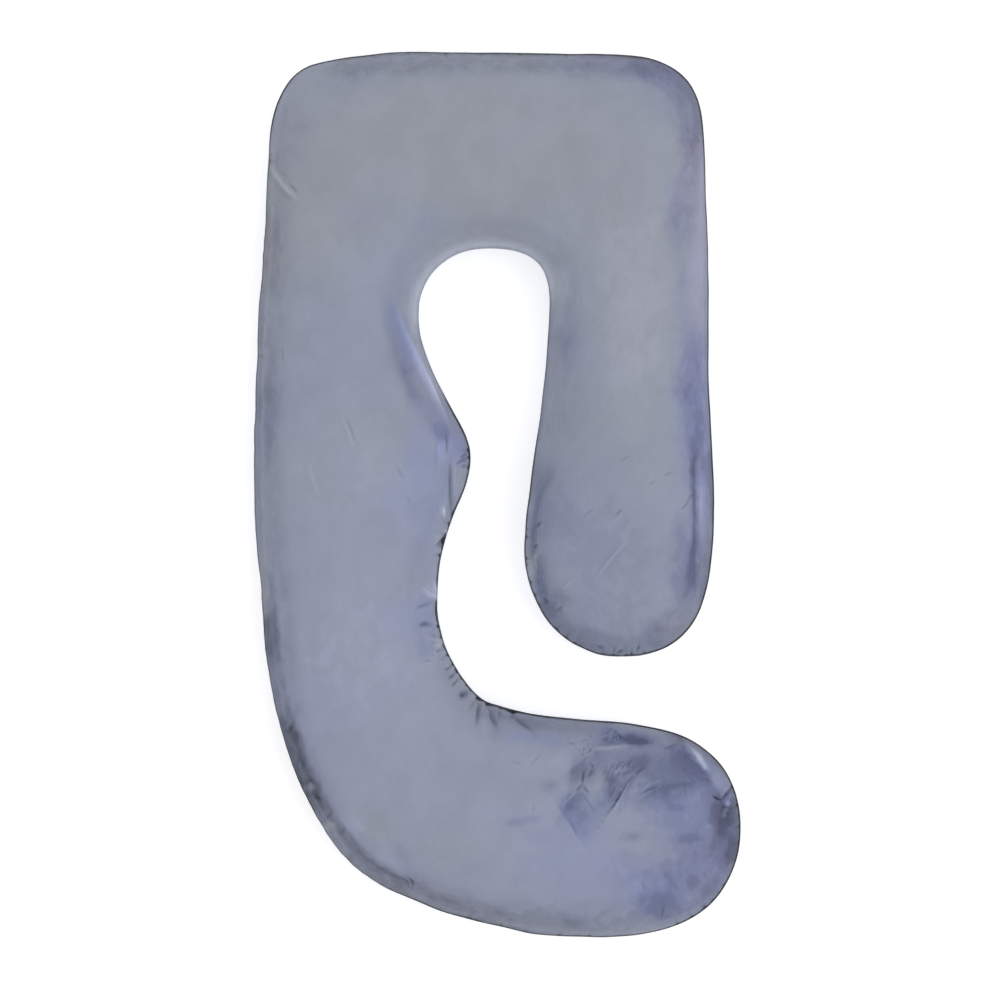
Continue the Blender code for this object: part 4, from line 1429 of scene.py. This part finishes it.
def velvet_material(colours):
    """Short-pile velvet: soft brushed strokes, drifting tints, patches with painted highlights and
    shade, and a fine pile.
    """
    material = bpy.data.materials.new("velvet")
    material.use_nodes = True
    nodes = Nodes(material.node_tree)
    place = nodes.add("ShaderNodeTexCoord", output="Object")
    light, blue, violet, fold, crumple = (
        nodes.add("ShaderNodeAttribute", {"attribute_name": name}, output="Fac") for name in TINTS
    )

    # Tints drift softly over the cover, with warped edges.
    warp = nodes.add(
        "ShaderNodeTexNoise", None, {"Vector": place, "Scale": 9.0, "Detail": 2.0},
        output="Color",
    )
    bent = nodes.add(
        "ShaderNodeVectorMath", {"operation": "ADD"}, {0: place, 1: nodes.scaled(warp, WARP)}
    )
    drift = nodes.noise(bent, scale=5.5)
    blush = nodes.noise(nodes.placed(bent, (3.1, 1.7, 0.4), turn=20), scale=7.5)
    cloud = nodes.noise(nodes.placed(bent, (7.3, 2.2, 5.0), turn=-35), scale=16.0, detail=3.0)

    strokes = [
        nodes.noise(nodes.streaks(place, shift, turn, length), scale, detail=3.0, roughness=0.55)
        for shift, turn, length, scale in STROKES
    ]
    choice = nodes.noise(nodes.placed(place, (2.0, 8.0, 1.0)), scale=13.0, detail=1.0)
    first = nodes.stepped(choice, low=-0.25, high=0.15)
    second = nodes.stepped(choice, low=0.2, high=0.6)
    brushed = strokes[0] * (1 - first) + strokes[1] * first * (1 - second) + strokes[2] * second
    pile = nodes.noise(place, scale=900.0, roughness=0.6)

    dabs = nodes.placed(bent, (5.0, 3.0, 8.0), turn=15)
    dabs = nodes.noise(dabs, scale=55.0, detail=4.0, roughness=0.6)
    ragged = (brushed * FRAYED + dabs * FRAYED) * abs(light).worked("MINIMUM", RAGGED)
    uneven = light + ragged + cloud * colours.wash_strength
    steps = abs(uneven).worked("SQRT") * WASHES
    stairs = steps - (steps * (2 * math.pi)).worked("SINE") * colours.wash_crispness
    washed = (stairs / WASHES) ** 2 * uneven.worked("SIGN")
    patch = washed + (light - washed) * SMOOTH_SHARE
    # Wrinkle lines of the crumpled places: a bump, and painted light and dark lines in the tone.
    wrinkles = nodes.streaks(place, (6.0, 2.0, 4.0), turn=-25, length=3.4)
    wrinkles = nodes.noise(wrinkles, scale=210.0, detail=1.5)
    wrinkles = (nodes.stepped(wrinkles, low=-0.3, high=0.3) - 0.5) * crumple
    # Tone: the patches' and folds' painted highlights and shade, on top of the pile's own clouds,
    # dabs, strokes and fine pile.
    tone = 1 + patch + fold + cloud * colours.cloud_strength + dabs * DAB_TONE
    tone = tone + brushed * colours.stroke_strength + pile * PILE_TONE
    tone = tone + wrinkles * colours.wrinkle_strength

    shade = patch.worked("MINIMUM", 0.0) * DARK_BLUE
    bluer = nodes.stepped(blue - shade + drift * BLUE_DRIFT + PLAIN_BLUE, low=0.0, high=1.0)
    more_violet = nodes.stepped(violet + blush * VIOLET_BLUSH + PLAIN_VIOLET, low=0.0, high=1.0)
    colour = nodes.mixed(bluer, tuple(colours.grey_side), tuple(colours.blue_side))
    colour = nodes.mixed(more_violet, colour, tuple(colours.violet_side))
    colour = nodes.scaled(colour, tone.worked("MAXIMUM", DARKEST_TONE))

    fibres = nodes.placed(place, (1.0, 5.0, 2.0))
    fibres = nodes.noise(fibres, scale=420.0, detail=3.0, roughness=0.65)
    nap = nodes.raised(fibres, strength=0.35, distance=0.0006)
    nap = nodes.raised(brushed, strength=0.30, distance=0.0022, normal=nap)
    nap = nodes.raised(wrinkles, strength=0.6, distance=0.0010, normal=nap)
    surface = nodes.add(
        "ShaderNodeBsdfPrincipled", None,
        {
            "Base Color": colour, "Normal": nap,
            "Roughness": PLAIN_ROUGHNESS + brushed * STROKE_ROUGHNESS,
            "Specular IOR Level": 0.25, "Sheen Weight": colours.sheen_weight,
            "Sheen Roughness": 0.45, "Sheen Tint": tuple(colours.sheen_colour),
        },
    )
    nodes.add("ShaderNodeOutputMaterial", None, {"Surface": surface})
    return material


# --- pillow -------------------------------------------------------------------------------

# Puckers are this strong away from the gathers, which spread this far along the seam, in metres.
PLAIN_PUCKER = 0.4
GATHER_SPREAD = 0.03


def make_pillow(sizes, colours):
    """Build the velvet pillow in place of its plain solid."""
    corners = seam_corners()
    loop = seam_loop(corners[:, :2], sizes.seam_spacing)
    loop = loop + inward(loop) * sizes.edge_height
    gathers = gather_lines(loop)
    creases = table_lines(CREASES) + hatch_lines() + gathers
    steps = (sizes.upper_spacing, sizes.lower_spacing)
    rows = rows_beside(creases + [line for line, *_ in flank_lines()], loop)
    seam_height = float(corners[:, 2].mean())
    cover = Cover(loop, seam_height, RIM_DEPTHS, ROW_DEPTHS, steps, rows)
    resting = (cover.side < 0) & (cover.points[:, 2] <= 0)

    rim = Rim(cover, loop, seam_height, sizes.edge_height)
    let_out(cover, corners, sizes)
    soft = fold_rises(cover, table_lines(FOLDS), soft_rise) + band_rises(rim)
    crisp = fold_rises(cover, creases, crisp_rise)
    cover.raise_by(filling_lumps(cover, sizes))
    cover.raise_by(sizes.fold_strength * soft)
    cover.raise_by(sizes.crease_strength * crisp + seam_groove(cover, rim, sizes))
    lay_flat(cover, resting)

    pillow = bpy.data.objects.new(PIECE, cover.mesh(PIECE))
    bpy.context.scene.collection.objects.link(pillow)
    starts = np.array([line.start for line in gathers])
    gathered = np.exp(-(nearest(loop, starts)[1] / GATHER_SPREAD) ** 2)
    gathered = PLAIN_PUCKER + (1 - PLAIN_PUCKER) * gathered
    seam_place = np.column_stack([loop[rim.seam], np.zeros(len(rim.seam))])
    add_attribute(pillow.data, "seam_place", "FLOAT_VECTOR", "vector", seam_place)
    add_attribute(pillow.data, "seam_gap", "FLOAT", "value", rim.seam_gap)
    add_attribute(pillow.data, "gather", "FLOAT", "value", gathered[rim.seam] * ~resting)
    for name, values in zip(TINTS, nap_tints_and_painted_light(cover, rim, soft, crisp, colours)):
        add_attribute(pillow.data, name, "FLOAT", "value", values)
    puckered(pillow, velvet_material(colours), sizes)

    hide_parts(NODE)
    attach(pillow, "root")


def add_attribute(data, name, kind, field, values):
    """Store a value for every point of a mesh."""
    attribute = data.attributes.new(name, kind, "POINT")
    attribute.data.foreach_set(field, np.ascontiguousarray(values, dtype=np.float32).ravel())


# --- stage --------------------------------------------------------------------------------

SENSOR_WIDTH = 36.0

# Each light's direction, as a place it shines from, and its spread in degrees.
OVERHEAD = ((-0.3, 0.2, 6.0), 100)
KEY = ((4.4, -0.6, 5.0), 50)
WHITE = (1, 1, 1, 1)


def plain_material(name, colour, glow):
    """A matt paper-like material with a faint glow."""
    material = bpy.data.materials.new(name)
    material.use_nodes = True
    nodes = Nodes(material.node_tree)
    surface = nodes.add(
        "ShaderNodeBsdfPrincipled", None,
        {
            "Base Color": colour, "Roughness": 0.9, "Specular IOR Level": 0.0,
            "Emission Color": colour, "Emission Strength": glow,
        },
    )
    nodes.add("ShaderNodeOutputMaterial", None, {"Surface": surface})
    return material


def add_light(name, direction, spread, strength):
    """A very wide, distant soft light that shines from the given direction."""
    light = bpy.data.lights.new(name, "SUN")
    light.angle = math.radians(spread)
    light.energy = strength
    lamp = bpy.data.objects.new(name, light)
    lamp.location = direction
    lamp.rotation_euler = Vector(direction).to_track_quat("Z", "Y").to_euler()
    bpy.context.scene.collection.objects.link(lamp)


def make_stage(stage):
    """Pale floor, soft lights and a camera straight above the pillow."""
    half = stage.floor_width / 2
    data = bpy.data.meshes.new("floor")
    data.from_pydata([(-half, -half, 0), (half, -half, 0), (half, half, 0), (-half, half, 0)],
                     [], [(0, 1, 2, 3)])
    data.materials.append(plain_material("floor_paper", tuple(stage.floor_colour), stage.glow))
    floor = bpy.data.objects.new("floor", data)
    bpy.context.scene.collection.objects.link(floor)

    add_light("overhead", *OVERHEAD, stage.overhead_strength)
    add_light("key", *KEY, stage.key_strength)
    world = bpy.data.worlds.new("studio")
    world.use_nodes = True
    nodes = Nodes(world.node_tree)
    glow, backdrop = (
        nodes.add("ShaderNodeBackground", None, {"Color": WHITE, "Strength": strength})
        for strength in (stage.world_strength, stage.backdrop_strength)
    )
    seen = nodes.add("ShaderNodeLightPath", output="Is Camera Ray")
    studio = nodes.add("ShaderNodeMixShader", None, {0: seen, 1: glow, 2: backdrop})
    nodes.add("ShaderNodeOutputWorld", None, {"Surface": studio})
    bpy.context.scene.world = world

    lens = bpy.data.cameras.new("camera")
    lens.sensor_width = SENSOR_WIDTH
    lens.lens = SENSOR_WIDTH * (stage.camera_height - stage.seam_height) / stage.frame_width
    camera = bpy.data.objects.new("camera", lens)
    camera.location = (stage.camera_x, stage.camera_y, stage.camera_height)
    bpy.context.scene.collection.objects.link(camera)
    bpy.context.scene.camera = camera
    bpy.context.scene.view_settings.view_transform = "Standard"


# --- add-on -------------------------------------------------------------------------------

def length_property(name, description, default):
    """A size in metres."""
    return bpy.props.FloatProperty(
        name=name, description=description, default=default, min=0.0, subtype="DISTANCE",
        unit="LENGTH", precision=5,
    )


def colour_property(name, description, default):
    """A colour with its alpha."""
    return bpy.props.FloatVectorProperty(
        name=name, description=description, default=(*default, 1.0), size=4, min=0.0, max=1.0,
        subtype="COLOR",
    )


def factor_property(name, description, default):
    """A plain number."""
    return bpy.props.FloatProperty(name=name, description=description, default=default, min=0.0)


class BodyPillowSizes(bpy.types.PropertyGroup):
    """Sizes of the pillow's cover and folds"""

    seam_spacing: length_property("Seam spacing", "Between points along the seam", 0.004)
    upper_spacing: length_property("Upper spacing", "Between points of the upper panel", 0.0042)
    lower_spacing: length_property("Lower spacing", "Between points of the lower panel", 0.0095)
    fold_strength: factor_property("Fold strength", "How deep the soft folds are", 1.0)
    crease_strength: factor_property("Crease strength", "How deep the crisp creases are", 1.3)
    lump_height: length_property("Lump height", "How uneven the filling is", 0.0022)
    groove_depth: length_property("Groove depth", "How far the stitches pull the seam in", 0.0026)
    groove_width: length_property("Groove width", "How wide the seam's groove is", 0.0045)
    edge_height: length_property("Sewn edge height", "How far the sewn edge stands out", 0.0020)
    pucker_depth: length_property("Pucker depth", "Height of the seam's gathers", 0.0011)
    pucker_spacing: length_property("Pucker spacing", "Between the seam's gathers", 0.016)
    pucker_reach: length_property("Pucker reach", "Where the seam's gathers are deepest", 0.011)
    cloth_spacing: length_property("Cloth spacing", "Between points of the simulated cloth", 0.0085)
    spare_cloth: factor_property("Spare cloth", "Extra cloth where the cover is slackest", 0.05)
    pressure: factor_property("Pressure", "Push of the filling on the cloth", 4.0)
    cloth_mass: factor_property("Cloth mass", "Mass of each point of the cloth", 0.18)
    cloth_stiffness: factor_property("Cloth stiffness", "How little the cloth stretches", 15.0)
    cloth_bending: factor_property("Cloth bending", "How stiffly the cloth bends", 0.5)
    largest_move: length_property("Largest move", "Cap on the cloth's movement", 0.022)
    cloth_quality: bpy.props.IntProperty(
        name="Cloth quality", description="Steps of the simulation in a frame", default=5, min=1
    )
    cloth_frames: bpy.props.IntProperty(
        name="Cloth frames", description="Length of the simulation", default=20, min=2
    )


class BodyPillowColours(bpy.types.PropertyGroup):
    """Colours of the velvet"""

    grey_side: colour_property("Grey", "Velvet at its greyest", (0.282, 0.304, 0.350))
    blue_side: colour_property("Blue", "Velvet at its bluest", (0.245, 0.287, 0.520))
    violet_side: colour_property("Violet", "Velvet at its most violet", (0.300, 0.288, 0.425))
    sheen_colour: colour_property("Sheen", "Light that the pile's tips give back", (0.8, 0.84, 1.0))
    sheen_weight: factor_property("Sheen weight", "How strong the sheen is", 0.15)
    stroke_strength: factor_property("Strokes", "How far brushed strokes show", 0.03)
    cloud_strength: factor_property("Clouds", "How far soft clouds in the pile show", 0.03)
    wash_strength: factor_property("Washes", "How far faint washes show everywhere", 0.06)
    # How strong the crumpled places' painted light and dark lines are.
    wrinkle_strength: factor_property("Wrinkles", "How far the crumpled places' lines show", 0.20)
    wash_crispness: factor_property("Wash edges", "How crisp the borders of patches are", 0.15)
    # Painted shade and highlights: how strongly folds and creases darken or lighten the pile, and
    # how much darker a band beside the seam is made.
    fold_shade: factor_property("Fold shade", "How much darker the pile is in soft folds", 0.10)
    crease_shade: factor_property("Crease shade", "How much darker the pile is in creases", 0.27)
    seam_shade: factor_property("Seam shade", "How much darker the pile is at the seam", 0.25)
    seam_shade_width: length_property("Seam shade width", "How wide that band is", 0.016)
    # Width of the painted shadow line on the sewn edge.
    edge_shadow_width: length_property("Edge line width", "How wide the dark sewn edge is", 0.0031)


class BodyPillowStage(bpy.types.PropertyGroup):
    """Sizes of the floor, lights and camera"""

    floor_width: length_property("Floor width", "Side of the square floor", 80.0)
    floor_colour: colour_property("Floor colour", "Colour of the floor", (0.83, 0.83, 0.83))
    glow: factor_property("Floor glow", "How much the floor lightens its own shadows", 0.55)
    overhead_strength: factor_property("Overhead light", "Strength of the overhead light", 1.24)
    key_strength: factor_property("Key light", "Strength of the light from the upper right", 0.60)
    world_strength: factor_property("World strength", "Light from all round", 0.48)
    backdrop_strength: factor_property("Backdrop", "How white the paper behind looks", 1.0)
    camera_height: length_property("Camera height", "Height of the camera", 12.0)
    camera_x: bpy.props.FloatProperty(
        name="Camera x", description="Camera's place across", default=0.0043, unit="LENGTH"
    )
    camera_y: bpy.props.FloatProperty(
        name="Camera y", description="Camera's place along", default=-0.0076, unit="LENGTH"
    )
    frame_width: length_property("Frame width", "Width that the camera sees at the seam", 1.4706)
    seam_height: length_property("Seam height", "Height of the seam above the floor", 0.072)


class BODY_PILLOW_OT_make_pillow(bpy.types.Operator):
    """Make the filled velvet pillow in place of its solid"""

    bl_idname = "body_pillow.make_pillow"
    bl_label = "Make pillow"

    def execute(self, context):
        make_pillow(context.scene.body_pillow_sizes, context.scene.body_pillow_colours)
        return {"FINISHED"}


class BODY_PILLOW_OT_make_stage(bpy.types.Operator):
    """Make the floor, lights and camera"""

    bl_idname = "body_pillow.make_stage"
    bl_label = "Make stage"

    def execute(self, context):
        make_stage(context.scene.body_pillow_stage)
        return {"FINISHED"}


class BODY_PILLOW_PT_panel(bpy.types.Panel):
    """Sizes and buttons of the body pillow"""

    bl_label = "Body pillow"
    bl_space_type = "VIEW_3D"
    bl_region_type = "UI"
    bl_category = "Body Pillow"

    def draw(self, context):
        scene = context.scene
        groups = (
            (scene.body_pillow_sizes, None),
            (scene.body_pillow_colours, BODY_PILLOW_OT_make_pillow),
            (scene.body_pillow_stage, BODY_PILLOW_OT_make_stage),
        )
        for group, button in groups:
            box = self.layout.box()
            for name in group.__annotations__:
                box.prop(group, name)
            if button:
                box.operator(button.bl_idname)


CLASSES = (
    BodyPillowSizes, BodyPillowColours, BodyPillowStage, BODY_PILLOW_OT_make_pillow,
    BODY_PILLOW_OT_make_stage, BODY_PILLOW_PT_panel,
)


def register():
    """Add the classes and their settings to Blender."""
    for kind in CLASSES:
        bpy.utils.register_class(kind)
    scene = bpy.types.Scene
    scene.body_pillow_sizes = bpy.props.PointerProperty(type=BodyPillowSizes)
    scene.body_pillow_colours = bpy.props.PointerProperty(type=BodyPillowColours)
    scene.body_pillow_stage = bpy.props.PointerProperty(type=BodyPillowStage)


def unregister():
    """Take the classes and their settings out again."""
    for name in ("sizes", "colours", "stage"):
        delattr(bpy.types.Scene, "body_pillow_" + name)
    for kind in reversed(CLASSES):
        bpy.utils.unregister_class(kind)


def main():
    """Build everything."""
    register()
    bpy.ops.body_pillow.make_pillow()
    bpy.ops.body_pillow.make_stage()


if __name__ == "__main__":
    main()
